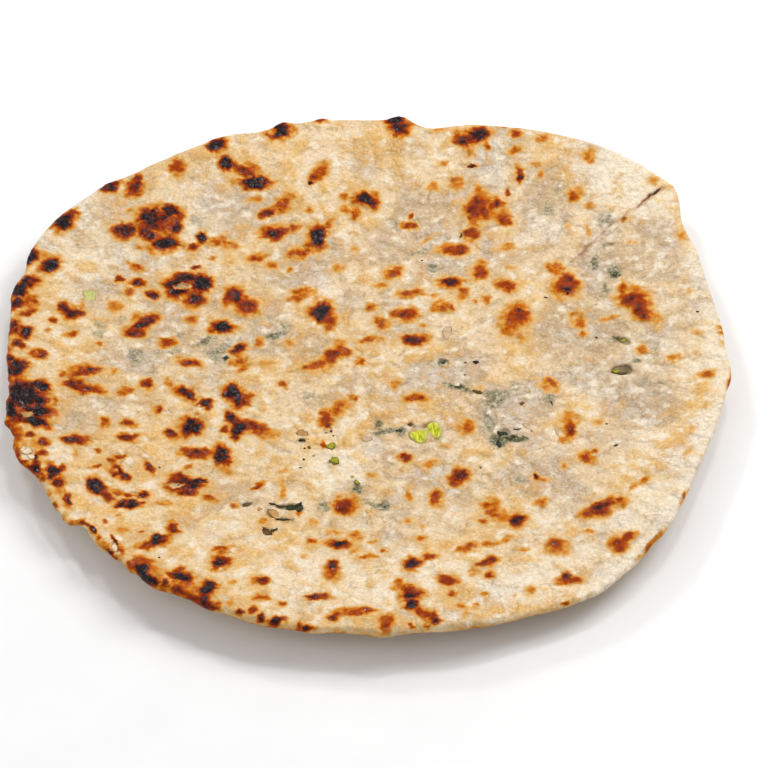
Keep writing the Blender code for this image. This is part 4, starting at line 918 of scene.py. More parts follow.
def under_fields(x, y):
    wx = x + 1.1 * layered_noise(x, y, 5.0, 3, 231, 0.6)
    wy = y + 1.1 * layered_noise(x, y, 5.0, 3, 247, 0.6)
    toast, halo = np.zeros_like(x), np.zeros_like(x)
    rise = np.zeros_like(x)
    for sx, sy, size, long, tilt, dark in under_spots():
        near = (np.abs(wx - sx) < long * 1.5) & (np.abs(wy - sy) < long * 1.5)
        if not near.any():
            continue
        q = inside(wx[near], -wy[near], sx, -sy, long, size, tilt)
        toast[near] = merged(toast[near], mark_profile(q, dark))
        halo[near] = np.maximum(halo[near], dark * smooth((2.3 - q) / 1.5))
        dome = (0.05 + 0.3 * dark) * min(1.0, size / 8.0) * smooth((1.3 - q) / 1.0)
        rise[near] = np.maximum(rise[near], dome)
    return toast, halo, rise


# --------------------------------------------------------------------- border
def border_toast(angle):
    """How far the outermost edge is browned, by direction."""
    total = np.zeros_like(angle)
    for centre, half, dark in BORDER:
        turn = turn_between(angle, centre) / half
        total = np.maximum(total, dark * np.exp(-(turn**2)))
    turn = np.radians(angle)
    wave = layered_noise(26.0 * np.cos(turn), 26.0 * np.sin(turn), 1.3, 3, 61, 0.6)
    return np.clip(total * (1.0 + 0.55 * wave), 0.0, 1.0)


# ----------------------------------------------------------------- top surface
def plain_top(share, angle):
    """The top as it is in the solid, with a finer seam and tear."""
    x, y = plan_point(share, angle)
    calm = 1.0 - 0.5 * smooth((share - 0.9) / 0.1)
    relief = seam_relief(x, y) + torn_relief(x, y) + wrinkle_relief(x, y)
    relief = relief + 0.75 * blister_relief(x, y) + lump_relief(x, y)
    return underside(share, angle) + thickness(share, angle) + calm * relief


def full_top(share, angle):
    """The top with every blister, crease and tear on it."""
    x, y = plan_point(share, angle)
    z = plain_top(share, angle)
    across, down = seen_at(x - SHIFT[0], y - SHIFT[1], z)
    toast, halo, rise, cleared = toast_fields(across, down, x, y)
    height, shade, pale = crease_fields(across, down, x, y)
    depth, lip, brim_shadow = tear_fields(across, down, x, y)
    char = smooth((toast - 0.55) / 0.4)
    crackle = layered_noise(x, y, 1.9, 2, 151)
    calm = 1.0 - 0.4 * smooth((share - 0.9) / 0.1)
    z = z + calm * fine_relief(x, y) + 0.75 * rise + height
    z = z + 0.16 * char * crackle - 0.25 * np.clip(cleared, 0, 1)
    return z - 0.9 * depth + 0.22 * lip * (depth < 0.3)


# ----------------------------------------------------------------------- mesh
TOP, EDGE, FOOT = 0, 1, 2
INNER = 1.0 - EDGE_ROUND / MEAN_RADIUS
FOOT_INNER = 1.0 - 1.2 * EDGE_ROUND / MEAN_RADIUS


def ring_angles(count):
    return np.arange(count) * 360.0 / count


def strip(first, first_count, second, second_count):
    """Triangles between two rings whose points start in the same direction."""
    faces = []
    i = j = 0
    while i < first_count or j < second_count:
        step_first = (i + 1) * second_count <= (j + 1) * first_count
        a = first + i % first_count
        b = second + j % second_count
        if first_count > 1 and i < first_count and (step_first or j >= second_count):
            faces.append((a, b, first + (i + 1) % first_count))
            i += 1
        elif j < second_count:
            faces.append((b, second + (j + 1) % second_count, a))
            j += 1
        else:
            break
    return faces


def ring_layout():
    """Place of each point on the disc, its kind, and its turn round the edge."""
    rings = []
    for k in range(TOP_RINGS + 1):
        rings.append((INNER * k / TOP_RINGS, max(6 * k, 1), TOP, 90.0))
    for around in EDGE_ANGLES:
        inset = EDGE_ROUND * (1.0 - math.cos(math.radians(around)))
        rings.append((1.0 - inset / MEAN_RADIUS, 6 * TOP_RINGS, EDGE, around))
    for k in range(FOOT_RINGS, -1, -1):
        rings.append((FOOT_INNER * k / FOOT_RINGS, max(6 * k, 1), FOOT, -90.0))
    parts, faces, start = [], [], 0
    for n, (share, count, kind, around) in enumerate(rings):
        turn = np.radians(ring_angles(count))
        one = np.ones(count)
        parts.append(np.stack([share * np.cos(turn), share * np.sin(turn), kind * one, around * one]))
        if n + 1 < len(rings):
            faces += strip(start, count, start + count, rings[n + 1][1])
        start += count
    return np.concatenate(parts, axis=1).T, np.array(faces)


def refined(points, faces, chosen):
    """Splits the chosen triangles in four, and their neighbours to match."""
    edges = np.sort(np.stack([faces, np.roll(faces, -1, axis=1)], axis=2), axis=2)
    flat = edges.reshape(-1, 2)
    code = flat[:, 0].astype(np.int64) * len(points) + flat[:, 1]
    wanted = np.unique(code.reshape(-1, 3)[chosen].ravel())
    ends = np.stack([wanted // len(points), wanted % len(points)], axis=1)
    middles = (points[ends[:, 0]] + points[ends[:, 1]]) / 2
    slot = np.searchsorted(wanted, code)
    slot = np.minimum(slot, len(wanted) - 1)
    hit = wanted[slot] == code
    mid = np.where(hit, slot + len(points), -1).reshape(-1, 3)
    split = (mid >= 0).sum(axis=1)
    result = [faces[split == 0]]

    def corners(which, first):
        """Corners and edge middles of some triangles, turned to begin at first."""
        at = (first[:, None] + np.arange(3)) % 3
        return (
            np.take_along_axis(faces[which], at, axis=1),
            np.take_along_axis(mid[which], at, axis=1),
        )

    one = np.flatnonzero(split == 1)
    c, m = corners(one, np.argmax(mid[one] >= 0, axis=1))
    result += [np.stack([c[:, 0], m[:, 0], c[:, 2]], axis=1)]
    result += [np.stack([m[:, 0], c[:, 1], c[:, 2]], axis=1)]
    two = np.flatnonzero(split == 2)
    c, m = corners(two, (np.argmax(mid[two] < 0, axis=1) + 1) % 3)
    result += [np.stack([c[:, 0], m[:, 0], c[:, 2]], axis=1)]
    result += [np.stack([m[:, 0], m[:, 1], c[:, 2]], axis=1)]
    result += [np.stack([m[:, 0], c[:, 1], m[:, 1]], axis=1)]
    three = np.flatnonzero(split == 3)
    c, m = corners(three, np.zeros(len(three), int))
    result += [np.stack([c[:, 0], m[:, 0], m[:, 2]], axis=1)]
    result += [np.stack([m[:, 0], c[:, 1], m[:, 1]], axis=1)]
    result += [np.stack([m[:, 2], m[:, 1], c[:, 2]], axis=1)]
    result += [np.stack([m[:, 0], m[:, 1], m[:, 2]], axis=1)]
    return np.concatenate([points, middles]), np.concatenate(result)


def polar(layout):
    share = np.hypot(layout[:, 0], layout[:, 1])
    angle = np.degrees(np.arctan2(layout[:, 1], layout[:, 0])) % 360.0
    return share, angle


def busy_faces(layout, faces, count):
    """The top triangles across which the look changes most."""
    share, angle = polar(layout)
    top = layout[:, 2] == TOP
    x, y = plan_point(share, angle)
    z = np.where(top, plain_top(share, angle), 0.0)
    across, down = seen_at(x - SHIFT[0], y - SHIFT[1], z)
    toast, halo, rise, cleared = toast_fields(across, down, x, y)
    height, shade, pale = crease_fields(across, down, x, y)
    depth, lip, brim_shadow = tear_fields(across, down, x, y)
    seam = seam_relief(x, y) + torn_relief(x, y)
    look = np.stack([toast, 1.6 * shade, 1.5 * depth, 1.2 * seam])
    spread = look[:, faces].max(axis=2) - look[:, faces].min(axis=2)
    score = spread.max(axis=0) + 0.15 * toast[faces].max(axis=1)
    run = np.stack([x[faces], y[faces]])
    size = np.ptp(run, axis=2).max(axis=0)
    score = np.where(top[faces].all(axis=1), score * size, -1.0)
    order = np.argsort(-score, kind="stable")
    return np.sort(order[:count])


def bread_points(layout):
    """Places in mm of all points of the closed skin."""
    share, angle = polar(layout)
    kind, around = layout[:, 2].round().astype(int), layout[:, 3]
    x, y = plan_point(share, angle)
    z = np.zeros(len(layout))
    top = kind == TOP
    z[top] = full_top(share[top], angle[top])
    edge = kind == EDGE
    rim = angle[edge]
    low = underside(np.ones_like(rim), rim)
    high = full_top(np.full_like(rim, INNER), rim)
    turn = np.radians(around[edge])
    z[edge] = (low + high) / 2 + (high - low) / 2 * np.sin(turn)
    foot = kind == FOOT
    toast, halo, rise = under_fields(x[foot], y[foot])
    between = 0.30 * (1.0 - smooth(halo / 0.5)) + 0.05 * (1 + layered_noise(x[foot], y[foot], 4.0, 2, 261))
    fade = 1.0 - smooth((share[foot] - 0.95) / 0.04)
    z[foot] = underside(share[foot], angle[foot]) + np.maximum(between, 0.0) * fade
    # middle facets keep to the surface: points made by splitting lie on it too
    return np.stack([x - SHIFT[0], y - SHIFT[1], np.maximum(z, 0.0)], axis=1)


def outline_shift():
    """Middle of the plain outline, which becomes the origin in plan."""
    angle = ring_angles(720)
    turn = np.radians(angle)
    radius = plain_rim_radius(angle)
    x, y = radius * np.cos(turn), radius * np.sin(turn)
    return (x.min() + x.max()) / 2, (y.min() + y.max()) / 2


SHIFT = outline_shift()


def skin_fields(layout, places):
    """What the dough material reads at every point."""
    share, angle = polar(layout)
    kind = layout[:, 2].round().astype(int)
    x, y = places[:, 0] + SHIFT[0], places[:, 1] + SHIFT[1]
    across, down = seen_at(places[:, 0], places[:, 1], places[:, 2])
    toast, halo, rise, cleared = toast_fields(across, down, x, y)
    height, shade, pale = crease_fields(across, down, x, y)
    depth, lip, brim_shadow = tear_fields(across, down, x, y)
    soft_a, soft_d = warped(across, down, x, y, 5.0)
    fields = {
        "golden": patches(soft_a, soft_d, GOLDEN, 0.6),
        # pale dough, together with painted light on the rims and painted highlight along the ridges
        "pale_and_lit": np.maximum(patches(soft_a, soft_d, PALE, 0.6), np.maximum(pale, 0.8 * cleared)),
        "wet": patches(soft_a, soft_d, WET, 0.45),
    }
    near_a, near_d = warped(across, down, x, y, 2.6)
    fields["filling"] = patches(near_a, near_d, FILLING, 0.45)
    under = kind == FOOT
    under_toast, under_halo, under_rise = under_fields(x, y)
    rim = border_toast(angle)
    over = 0.25 + 0.75 * smooth((rim - 0.35) / 0.2)
    low = smooth((25.0 - layout[:, 3]) / 50.0)
    rim = rim * np.where(kind == EDGE, over + (1.0 - over) * low, over * smooth((share - 0.972) / 0.022))
    toast = np.where(under, under_toast, toast)
    halo = np.where(under, under_halo, halo)
    toast = np.maximum(toast, rim)
    halo = np.maximum(halo, 0.8 * rim)
    below = np.where(under, 1.0, 0.0)
    spread = 0.5 + 0.5 * layered_noise(x, y, 30.0, 2, 301)
    fields["golden"] = np.where(under, 0.15 + 0.45 * spread, fields["golden"])
    for name in ("pale_and_lit", "wet", "filling"):
        fields[name] = fields[name] * (1.0 - below)
    fields["wet"] = np.where(under, 0.35 * (1.0 - spread), fields["wet"])
    fields["toast"] = toast
    fields["halo"] = halo
    # this field is painted shade: the crease grooves and the shadowed ring inside the tears
    fields["shade"] = np.where(under, 0.0, np.maximum(shade, 0.45 * brim_shadow))
    fields["tear"] = np.where(under, 0.0, depth)
    return fields


# ------------------------------------------------------------------ materials
def put(tree, kind, *inputs, **settings):
    """Adds a node; inputs are sockets, values or None in socket order."""
    node = tree.nodes.new("ShaderNode" + kind)
    for name, value in settings.items():
        setattr(node, name, value)
    for socket, value in zip(node.inputs, inputs):
        if isinstance(value, bpy.types.NodeSocket):
            tree.links.new(value, socket)
        elif value is not None:
            socket.default_value = value
    return node


def sums(tree, operation, *values, clamp=False):
    node = put(tree, "Math", *values, operation=operation, use_clamp=clamp)
    return node.outputs[0]


def ease(tree, value, low, high, to_low=0.0, to_high=1.0):
    node = put(
        tree, "MapRange", value, low, high, to_low, to_high,
        interpolation_type="SMOOTHSTEP", clamp=True,
    )
    return node.outputs[0]


def colour_mix(tree, factor, first, second, kind="MIX"):
    node = tree.nodes.new("ShaderNodeMix")
    node.data_type, node.blend_type = "RGBA", kind
    for socket, value in ((node.inputs[0], factor), (node.inputs[6], first), (node.inputs[7], second)):
        if isinstance(value, bpy.types.NodeSocket):
            tree.links.new(value, socket)
        else:
            socket.default_value = value
    return node.outputs[2]


def attribute(tree, name):
    return put(tree, "Attribute", attribute_name=name).outputs["Fac"]


def noise(tree, place, scale, detail, rough=0.55, warp=0.0, output="Fac"):
    node = tree.nodes.new("ShaderNodeTexNoise")
    tree.links.new(place, node.inputs["Vector"])
    node.inputs["Scale"].default_value = scale
    node.inputs["Detail"].default_value = detail
    node.inputs["Roughness"].default_value = rough
    node.inputs["Distortion"].default_value = warp
    return node.outputs[output]


def bent(tree, place, scale, far):
    """Places pushed about by noise, so that what is laid out by them bends."""
    push = noise(tree, place, scale, 1.0, output="Color")
    push = put(tree, "VectorMath", push, (0.5, 0.5, 0.5), operation="SUBTRACT").outputs[0]
    push = put(tree, "VectorMath", push, (far, far, far), operation="MULTIPLY").outputs[0]
    return put(tree, "VectorMath", place, push, operation="ADD").outputs[0]


def cells(tree, place, scale, soft=0.5):
    """Distance from the middle of rounded cells, 0 to about 0.7."""
    node = tree.nodes.new("ShaderNodeTexVoronoi")
    node.feature, node.voronoi_dimensions = "SMOOTH_F1", "2D"
    tree.links.new(place, node.inputs["Vector"])
    node.inputs["Scale"].default_value = scale
    node.inputs["Smoothness"].default_value = soft
    return node.outputs["Distance"]


def ramp(tree, value, stops):
    node = put(tree, "ValToRGB", value)
    band = node.color_ramp
    while len(band.elements) < len(stops):
        band.elements.new(0.5)
    for element, (place, colour) in zip(band.elements, stops):
        element.position = place
        element.color = linear(colour)
    return node.outputs["Color"]


def new_material(name):
    material = bpy.data.materials.new(name)
    material.use_nodes = True
    tree = material.node_tree
    return material, tree, tree.nodes["Principled BSDF"]


def dough_material():
    material, tree, shader = new_material("griddled_dough")
    place = put(tree, "TexCoord").outputs["Object"]
    loose = bent(tree, place, 80.0, 0.006)
    broad = noise(tree, place, 45.0, 2.0, 0.5, 0.3)
    patchy = noise(tree, loose, 105.0, 2.0, 0.5)
    middle = noise(tree, place, 215.0, 1.0, 0.5)
    small = noise(tree, place, 470.0, 1.0, 0.5, 0.4)
    fine = noise(tree, place, 1150.0, 1.0, 0.6)
    lines = noise(tree, loose, 150.0, 1.0, 0.5)
    puffs = cells(tree, loose, 160.0)
    beads = cells(tree, place, 560.0)

    golden, pale_and_lit, wet = (attribute(tree, n) for n in ("golden", "pale_and_lit", "wet"))
    filling, toast, halo = (attribute(tree, n) for n in ("filling", "toast", "halo"))
    shade, tear = attribute(tree, "shade"), attribute(tree, "tear")
    open_skin = sums(tree, "SUBTRACT", 1.0, sums(tree, "MAXIMUM", shade, tear), clamp=True)

    def shifted(value, *parts):
        """A noise pushed up or down by some fields, each with its weight."""
        for field, weight in parts:
            value = sums(tree, "MULTIPLY_ADD", field, weight, value)
        return value

    def both(first, share, second):
        return sums(tree, "MULTIPLY_ADD", first, share, sums(tree, "MULTIPLY", second, 1.0 - share))

    # bare dough: cream and buttery, translucent where it is thin and oily
    # paler where the dough is pale, where light is painted on the rims and where highlight is painted on the ridges
    colour = colour_mix(tree, ease(tree, pale_and_lit, 0.1, 1.0, 0.0, 0.75), linear(CREAM), linear(CHALK_AND_HIGHLIGHT))
    warm = shifted(both(patchy, 0.65, middle), (golden, 0.15), (wet, -0.08), (pale_and_lit, -0.11))
    warm = ease(tree, warm, 0.41, 0.64)
    colour = colour_mix(tree, warm, colour, linear(BUTTER))
    colour = colour_mix(tree, ease(tree, golden, 0.1, 0.9, 0.0, 0.45), colour, linear(GOLD))
    colour = colour_mix(tree, ease(tree, halo, 0.05, 0.8, 0.0, 0.3), colour, linear(HONEY))
    soaked = shifted(both(patchy, 0.5, broad), (wet, 0.18), (pale_and_lit, -0.09), (golden, -0.03))
    soaked = ease(tree, soaked, 0.45, 0.66)
    colour = colour_mix(tree, sums(tree, "MULTIPLY", soaked, 0.95), colour, linear(TAN))
    colour = colour_mix(tree, ease(tree, wet, 0.1, 0.9, 0.0, 0.4), colour, linear(GREYED))
    milky = shifted(both(broad, 0.6, patchy), (wet, 0.10), (pale_and_lit, 0.06), (golden, -0.16), (halo, -0.05))
    colour = colour_mix(tree, ease(tree, milky, 0.50, 0.66, 0.0, 0.6), colour, linear(MILK))
    # little puffs of the skin are pale, the skin between them is thin and dark
    lid = shifted(both(middle, 0.35, both(small, 0.5, puffs)), (pale_and_lit, -0.08), (warm, 0.02))
    colour = colour_mix(tree, ease(tree, lid, 0.45, 0.27, 0.0, 0.8), colour, linear(CHALK_AND_HIGHLIGHT))
    between = shifted(both(middle, 0.6, small), (soaked, 0.09), (pale_and_lit, -0.06), (warm, -0.02))
    colour = colour_mix(tree, ease(tree, between, 0.53, 0.70, 0.0, 0.7), colour, linear(GREYED))
    dry = shifted(both(small, 0.14, both(middle, 0.35, patchy)), (golden, 0.12), (halo, 0.06), (wet, -0.07), (pale_and_lit, -0.10))
    colour = colour_mix(tree, ease(tree, dry, 0.49, 0.70, 0.0, 0.8), colour, linear(GOLD))
    # tiny white specks: painted highlights on the dough
    dough_glints = shifted(both(fine, 0.7, small), (pale_and_lit, 0.03))
    colour = colour_mix(tree, ease(tree, dough_glints, 0.55, 0.70, 0.0, 0.28), colour, linear(CHALK_AND_HIGHLIGHT))
    # short hairline wrinkles, darkened with painted shade
    thin = sums(tree, "ABSOLUTE", sums(tree, "SUBTRACT", lines, 0.5))
    thin = ease(tree, thin, 0.030, 0.002)
    thin = sums(tree, "MULTIPLY", thin, ease(tree, broad, 0.48, 0.58))
    colour = colour_mix(tree, sums(tree, "MULTIPLY", thin, 0.12), colour, linear(WRINKLE_SHADE))

    # filling that shows through
    hidden = shifted(both(small, 0.35, middle), (filling, 0.36))
    hidden = sums(tree, "MULTIPLY", ease(tree, hidden, 0.52, 0.84), ease(tree, filling, 0.0, 0.2))
    green = shifted(both(both(small, 0.5, fine), 0.55, middle), (filling, -0.07))
    green = ramp(tree, green, ((0.37, MURKY), (0.43, LEAFY), (0.49, SLATE), (0.57, MILKY)))
    colour = colour_mix(tree, hidden, colour, green)
    colour = colour_mix(
        tree, ease(tree, tear, 0.15, 0.9, 0.0, 0.72), colour,
        colour_mix(tree, ease(tree, fine, 0.35, 0.65), linear(WINDOW), linear(WINDOW_DARK)),
    )

    # toasting: the marks, their uneven edges, and freckles between them
    uneven = sums(tree, "MULTIPLY_ADD", middle, 0.9, sums(tree, "MULTIPLY_ADD", small, 0.75, -0.98))
    uneven = sums(tree, "MULTIPLY_ADD", fine, 0.3, uneven)
    uneven = sums(tree, "MULTIPLY", uneven, ease(tree, toast, 0.0, 0.6, 0.2, 1.0))
    uneven = sums(tree, "MULTIPLY", uneven, ease(tree, toast, 0.0, 0.06))
    uneven = sums(tree, "MULTIPLY", uneven, ease(tree, toast, 0.6, 0.8, 1.0, 0.65))
    heat = sums(tree, "ADD", toast, uneven)
    freckle = shifted(both(small, 0.55, middle), (halo, 0.09), (golden, 0.03))
    freckle = ease(tree, freckle, 0.61, 0.78, 0.0, 0.25)
    heat = sums(tree, "MAXIMUM", heat, freckle)
    browned = ramp(tree, heat, TOAST_COLOURS)
    colour = colour_mix(tree, ease(tree, heat, 0.0, 0.26), colour, browned)
    # painted highlights in the marks: tawny glints on the browned parts, grey sheen on the char
    mark_glints = ease(tree, both(fine, 0.55, small), 0.56, 0.67, 0.0, 0.4)
    mark_glints = sums(tree, "MULTIPLY", mark_glints, ease(tree, heat, 0.34, 0.55))
    glint_colours = colour_mix(tree, ease(tree, heat, 0.84, 0.95), linear(TAWNY_GLINT), linear(CHAR_SHEEN))
    colour = colour_mix(tree, mark_glints, colour, glint_colours)
    # painted shade in the creases and inside the tears, darker in deeper tears
    crevice_shade = colour_mix(tree, ease(tree, tear, 0.3, 0.7), linear(CREVICE_SHADE), linear(DEEP_CREVICE_SHADE))
    colour = colour_mix(tree, sums(tree, "MULTIPLY", shade, 0.85), colour, crevice_shade)

    grain = sums(tree, "MULTIPLY_ADD", fine, 0.58, sums(tree, "MULTIPLY_ADD", beads, -0.18, 0.78))
    grain = put(tree, "CombineColor", grain, grain, grain).outputs[0]
    colour = colour_mix(tree, 1.0, colour, grain, "MULTIPLY")
    tree.links.new(colour, shader.inputs["Base Color"])

    # soft skin; oil makes the blisters and the thinnest skin glossy
    rough = sums(tree, "MULTIPLY_ADD", fine, 0.2, 0.40)
    tree.links.new(rough, shader.inputs["Roughness"])
    skin = sums(tree, "MULTIPLY_ADD", middle, 0.45, sums(tree, "MULTIPLY", patchy, 0.6))
    skin = sums(tree, "MULTIPLY_ADD", small, 0.16, skin)
    skin = sums(tree, "MULTIPLY_ADD", puffs, -0.26, skin)
    skin = sums(tree, "MULTIPLY_ADD", beads, -0.06, skin)
    skin = sums(tree, "MULTIPLY_ADD", thin, -0.05, skin)
    film = sums(tree, "MULTIPLY_ADD", middle, 0.4, sums(tree, "MULTIPLY", small, 0.6))
    oil = shifted(both(small, 0.5, patchy), (wet, 0.06))
    oil = sums(tree, "MAXIMUM", ease(tree, oil, 0.52, 0.64, 0.0, 0.35), ease(tree, heat, 0.35, 0.95, 0.0, 0.5))
    drops = sums(tree, "MULTIPLY", ease(tree, both(fine, 0.3, small), 0.53, 0.62), ease(tree, heat, 0.3, 0.5))
    oil = sums(tree, "MAXIMUM", oil, drops)
    oil = sums(tree, "MULTIPLY", oil, open_skin)
    tree.links.new(oil, shader.inputs["Coat Weight"])
    for height, far, socket in ((skin, 0.0030, "Normal"), (film, 0.0018, "Coat Normal")):
        bump = tree.nodes.new("ShaderNodeBump")
        bump.inputs["Strength"].default_value = 1.0
        bump.inputs["Distance"].default_value = far
        tree.links.new(height, bump.inputs["Height"])
        tree.links.new(bump.outputs["Normal"], shader.inputs[socket])
    shader.inputs["Metallic"].default_value = 0.0
    shader.inputs["Specular IOR Level"].default_value = 0.02
    shader.inputs["Coat Roughness"].default_value = 0.10
    shader.inputs["Coat IOR"].default_value = 1.30
    return material


def plant_material(name, light, dark, edge, scale=900.0, rough=0.4, grain=(1.0, 1.0, 1.0)):
    """A leaf or stem bit: two greens, another along its cut edge."""
    material, tree, shader = new_material(name)
    place = put(tree, "TexCoord").outputs["Object"]
    place = put(tree, "VectorMath", place, grain, operation="MULTIPLY").outputs[0]
    blotch = noise(tree, place, scale, 3.0, 0.6)
    colour = colour_mix(tree, ease(tree, blotch, 0.35, 0.65), linear(light), linear(dark))
    colour = colour_mix(tree, attribute(tree, "cut"), colour, linear(edge))
    tree.links.new(colour, shader.inputs["Base Color"])
    spread = sums(tree, "MULTIPLY_ADD", blotch, 0.25, rough - 0.12)
    tree.links.new(spread, shader.inputs["Roughness"])
    bump = tree.nodes.new("ShaderNodeBump")
    bump.inputs["Strength"].default_value = 0.5
    bump.inputs["Distance"].default_value = 0.0003
    tree.links.new(blotch, bump.inputs["Height"])
    tree.links.new(bump.outputs["Normal"], shader.inputs["Normal"])
    shader.inputs["Specular IOR Level"].default_value = 0.12
    return material


# --------------------------------------------------------------- small pieces
def surface_finder(places, faces, kind):
    """A function from a place in the picture to the skin's point and normal."""
    top = faces[(kind[faces] != FOOT).all(axis=1)]
    corner = places[top]
    normal = np.cross(corner[:, 1] - corner[:, 0], corner[:, 2] - corner[:, 0])
    normal /= np.linalg.norm(normal, axis=1)[:, None] + 1e-12
    centre = corner.mean(axis=1)
    across, down = seen_at(centre[:, 0], centre[:, 1], centre[:, 2])

    def find(px, py, spread=2.5):
        gap = (across - px) ** 2 + (down - py) ** 2
        gap = np.where(normal[:, 2] > 0, gap, 1e9)
        near = gap < max(spread**2, float(gap.min()) + 1e-6)
        facing = normal[near].mean(axis=0)
        at = centre[int(np.argmin(gap))]
        return at, facing / np.linalg.norm(facing)

    return find


def bit_mesh(long, wide, thick, curl, ragged, seed, rings=4, around=14, hook=0.0):
    """A closed, thin, uneven, curled bit about long by wide, in mm."""
    turn = np.arange(around) * 2 * np.pi / around
    dice = np.random.default_rng(seed)
    outline = 1.0 + 1.4 * ragged * dice.uniform(-1, 0.7, around)
    outline = (2.0 * outline + 0.5 * (np.roll(outline, 1) + np.roll(outline, -1))) / 3.0
    points, cut = [(0.0, 0.0, thick / 2)], [0.0]
    for side in (1, -1):
        for ring in range(1, rings + 1) if side > 0 else range(rings - 1, 0, -1):
            far = ring / rings
            level = side * thick / 2 * math.sqrt(max(1.0 - far**3, 0.0))
            for k in range(around):
                reach = far * (1.0 + (outline[k] - 1.0) * far)
                points.append(
                    (long / 2 * reach * math.cos(turn[k]), wide / 2 * reach * math.sin(turn[k]), level)
                )
                cut.append(far**6)
    points.append((0.0, 0.0, -thick / 2))
    cut.append(0.0)
    points = np.array(points)
    bend = points[:, 0] / (long / 2)
    points[:, 1] += hook * wide * (bend**2 - 0.4)
    points[:, 2] += curl * bend**2 + 0.12 * curl * np.sin(3.0 * points[:, 1] / max(wide, 0.1))
    faces = []
    count = 2 * rings - 1
    for k in range(around):
        after = (k + 1) % around
        faces.append((0, 1 + k, 1 + after))
        for ring in range(count - 1):
            a, b = 1 + ring * around, 1 + (ring + 1) * around
            faces.append((a + k, b + k, b + after, a + after))
        last = 1 + (count - 1) * around
        faces.append((last + k, len(points) - 1, last + after))
    return points, faces, cut


def placed(points, at, normal, spin, sink):
    """Turns a bit made in its own frame onto the skin, with some of it sunk."""
    up = Vector(normal)
    side = Vector((1.0, 0.0, 0.0)) - up * up.x
    side.normalize()
    other = up.cross(side)
    turn = math.radians(spin)
    along = side * math.cos(turn) + other * math.sin(turn)
    across = up.cross(along)
    basis = np.array([along, across, up])
    return points @ basis + np.asarray(at) - np.asarray(up) * sink


def joined_bits(name, bits, find, material, ragged=0.22):
    """One mesh from a table of bits: x, y, long, wide, thick, curl, spin, sink, hook."""
    all_points, all_faces, all_cut, start = [], [], [], 0
    for n, (px, py, long, wide, thick, curl, spin, sink, hook) in enumerate(bits):
        at, normal = find(px, py, 3.0 + 0.8 * long)
        seed = 1000 + 7 * n + len(name)
        points, faces, cut = bit_mesh(long, wide, thick, curl, ragged, seed, hook=hook)
        all_points.append(placed(points, at, normal, spin, sink))
        all_faces += [tuple(i + start for i in face) for face in faces]
        all_cut += cut
        start += len(points)
    piece = add_piece(name, np.concatenate(all_points), all_faces, {"cut": all_cut}, material)
    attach(piece, "root")
    return piece


def add_piece(name, points, faces, fields, material):
    mesh = bpy.data.meshes.new(name)
    mesh.from_pydata((np.asarray(points) * MM).tolist(), [], [tuple(f) for f in faces])
    mesh.update()
    for field, values in fields.items():
        layer = mesh.attributes.new(field, "FLOAT", "POINT")
        layer.data.foreach_set("value", np.asarray(values, np.float32))
    mesh.shade_smooth()
    mesh.materials.append(material)
    piece = bpy.data.objects.new(name, mesh)
    bpy.context.scene.collection.objects.link(piece)
    return piece


def lay_out_bake(mesh, layout, faces, places):
    """A flat map of the skin: the top large, the underside small beside it."""
    kind = layout[:, 2].round().astype(int)
    around = layout[:, 3]
    share, angle = polar(layout)
    turn = np.radians(angle)
    size = 0.775 / 283.0
    out = np.where(kind == EDGE, (90.0 - around) / 180.0 * 4.6, 0.0)
    top_u = 0.604 + size * (places[:, 0] + out * np.cos(turn))
    top_v = 0.604 + size * (places[:, 1] + out * np.sin(turn))
    small = 0.172 / 137.0
    low_u = 0.18 - small * places[:, 0]
    low_v = 0.18 + small * places[:, 1]
    under = (kind[faces] == FOOT).any(axis=1)
    corner = faces.ravel()
    pick = np.repeat(under, 3)
    u = np.where(pick, low_u[corner], top_u[corner])
    v = np.where(pick, low_v[corner], top_v[corner])
    layer = mesh.uv_layers.new(name="OFBake")
    layer.data.foreach_set("uv", np.stack([u, v], axis=1).ravel().astype(np.float32))


# -------------------------------------------------------------------- the bread
layout, faces = ring_layout()
layout, faces = refined(layout, faces, busy_faces(layout, faces, BUSY_FACES))
layout, faces = refined(layout, faces, busy_faces(layout, faces, BUSIEST_FACES))
places = bread_points(layout)
dough = dough_material()
bread = add_piece("bread_skin", places, faces, skin_fields(layout, places), dough)
lay_out_bake(bread.data, layout, faces, places)
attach(bread, "root")
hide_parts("bread")

# --------------------------------------------- onion, herb, pepper and crumbs
find = surface_finder(places, faces, layout[:, 2].round().astype(int))
onion = plant_material(
    "spring_onion", (238, 232, 70), (150, 160, 6), (226, 222, 130), 1500.0, grain=(1.0, 0.25, 1.0),
)
herb = plant_material("herb_leaf", (66, 70, 36), (38, 42, 26), (24, 26, 18))
stem = plant_material("pale_herb", (176, 170, 40), (136, 142, 24), (92, 84, 22))
pepper = plant_material("pepper", (44, 32, 26), (22, 18, 18), (18, 14, 14), rough=0.5)
crust = plant_material("crumb", (92, 48, 22), (34, 20, 18), (26, 18, 20), rough=0.55)
husk = plant_material("herb_husk", (120, 88, 44), (84, 58, 28), (44, 30, 18))
loose_skin = plant_material("loose_skin", (246, 230, 202), (226, 200, 160), (190, 150, 104), 500.0)
tan_skin = plant_material("tan_skin", (204, 160, 98), (182, 136, 78), (150, 106, 60), 500.0)
pod = plant_material("seed_pod", (216, 186, 152), (200, 168, 134), (180, 142, 100), 600.0)
pale_stem = plant_material("pale_stem", (208, 208, 128), (172, 178, 88), (200, 192, 124), 700.0)
joined_bits("spring_onion_bits", ONION_BITS, find, onion)
joined_bits("pale_stem_bits", PALE_STEM_BITS, find, pale_stem)
joined_bits("husk_bits", HUSK_BITS, find, husk, ragged=0.4)
joined_bits("loose_skin_bits", LOOSE_SKIN, find, loose_skin, ragged=0.4)
joined_bits("tan_skin_bits", TAN_SKIN, find, tan_skin, ragged=0.4)
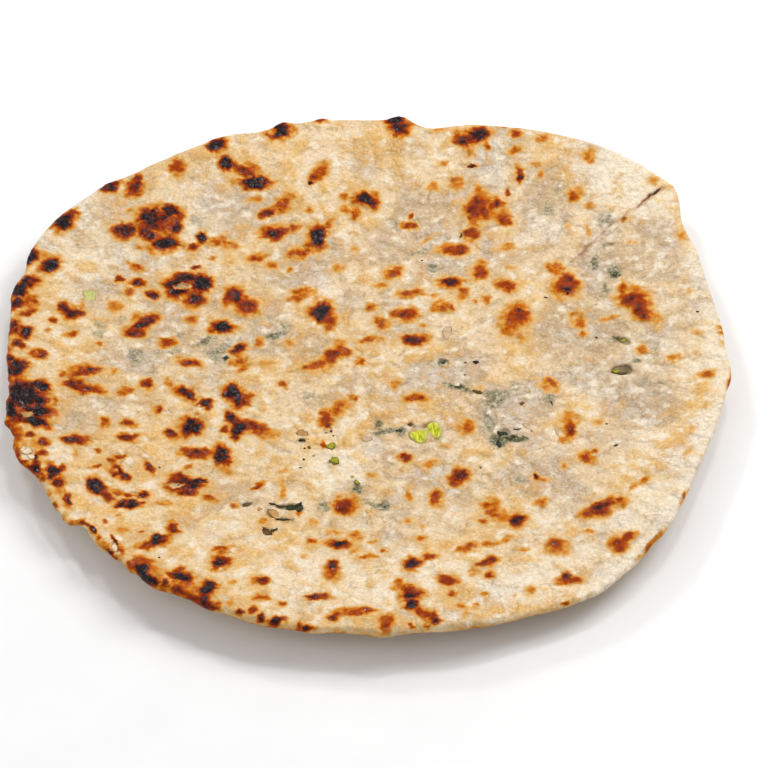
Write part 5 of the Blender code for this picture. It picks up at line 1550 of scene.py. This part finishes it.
joined_bits("seed_pod_bits", POD_BITS, find, pod, ragged=0.08)
joined_bits("herb_bits", HERB_BITS, find, herb, ragged=0.5)
joined_bits("pale_herb_bits", STEM_BITS, find, stem)
joined_bits("pepper_specks", PEPPER_SPECKS, find, pepper)
joined_bits("crust_flakes", CRUST_FLAKES, find, crust, ragged=0.35)

# ---------------------------------------------------------- floor, light, view
scene = bpy.context.scene
paper, tree, shader = new_material("paper")
speckle = noise(tree, put(tree, "TexCoord").outputs["Object"], 40.0, 2.0)
tone = ramp(tree, speckle, ((0.3, (255, 255, 255)), (0.7, (257, 257, 257))))
tree.links.new(tone, shader.inputs["Base Color"])
shader.inputs["Roughness"].default_value = 0.9
floor_mesh = bpy.data.meshes.new("floor")
floor_mesh.from_pydata(
    [(-6, -6, 0), (6, -6, 0), (6, 6, 0), (-6, 6, 0)], [], [(0, 1, 2, 3)]
)
floor_mesh.materials.append(paper)
floor = bpy.data.objects.new("floor", floor_mesh)
floor.location.z = -0.0003
scene.collection.objects.link(floor)

world = bpy.data.worlds.new("studio")
world.use_nodes = True
sky = world.node_tree.nodes["Background"]
sky.inputs["Color"].default_value = (1.0, 1.0, 1.0, 1.0)
sky.inputs["Strength"].default_value = SKY
scene.world = world


def softbox(name, place, size, power, aim=(0.0, 0.0, 0.0)):
    light = bpy.data.lights.new(name, "AREA")
    light.shape = "SQUARE"
    light.size = size
    light.energy = power
    lamp = bpy.data.objects.new(name, light)
    lamp.location = place
    way = Vector(aim) - Vector(place)
    lamp.rotation_euler = way.to_track_quat("-Z", "Y").to_euler()
    scene.collection.objects.link(lamp)
    return lamp


for lamp in LAMPS:
    softbox(*lamp)

right, up, back, place = camera_axes()
lens = bpy.data.cameras.new("view")
lens.lens = CAMERA_LENS
lens.sensor_width = 36.0
lens.clip_start, lens.clip_end = 0.01, 50.0
camera = bpy.data.objects.new("view", lens)
camera.matrix_world = Matrix(
    [(*(float(v) for v in row), float(place[i])) for i, row in enumerate(zip(right, up, back))]
    + [(0.0, 0.0, 0.0, 1.0)]
)
scene.collection.objects.link(camera)
scene.camera = camera
scene.view_settings.view_transform = "Standard"
scene.view_settings.look = "None"
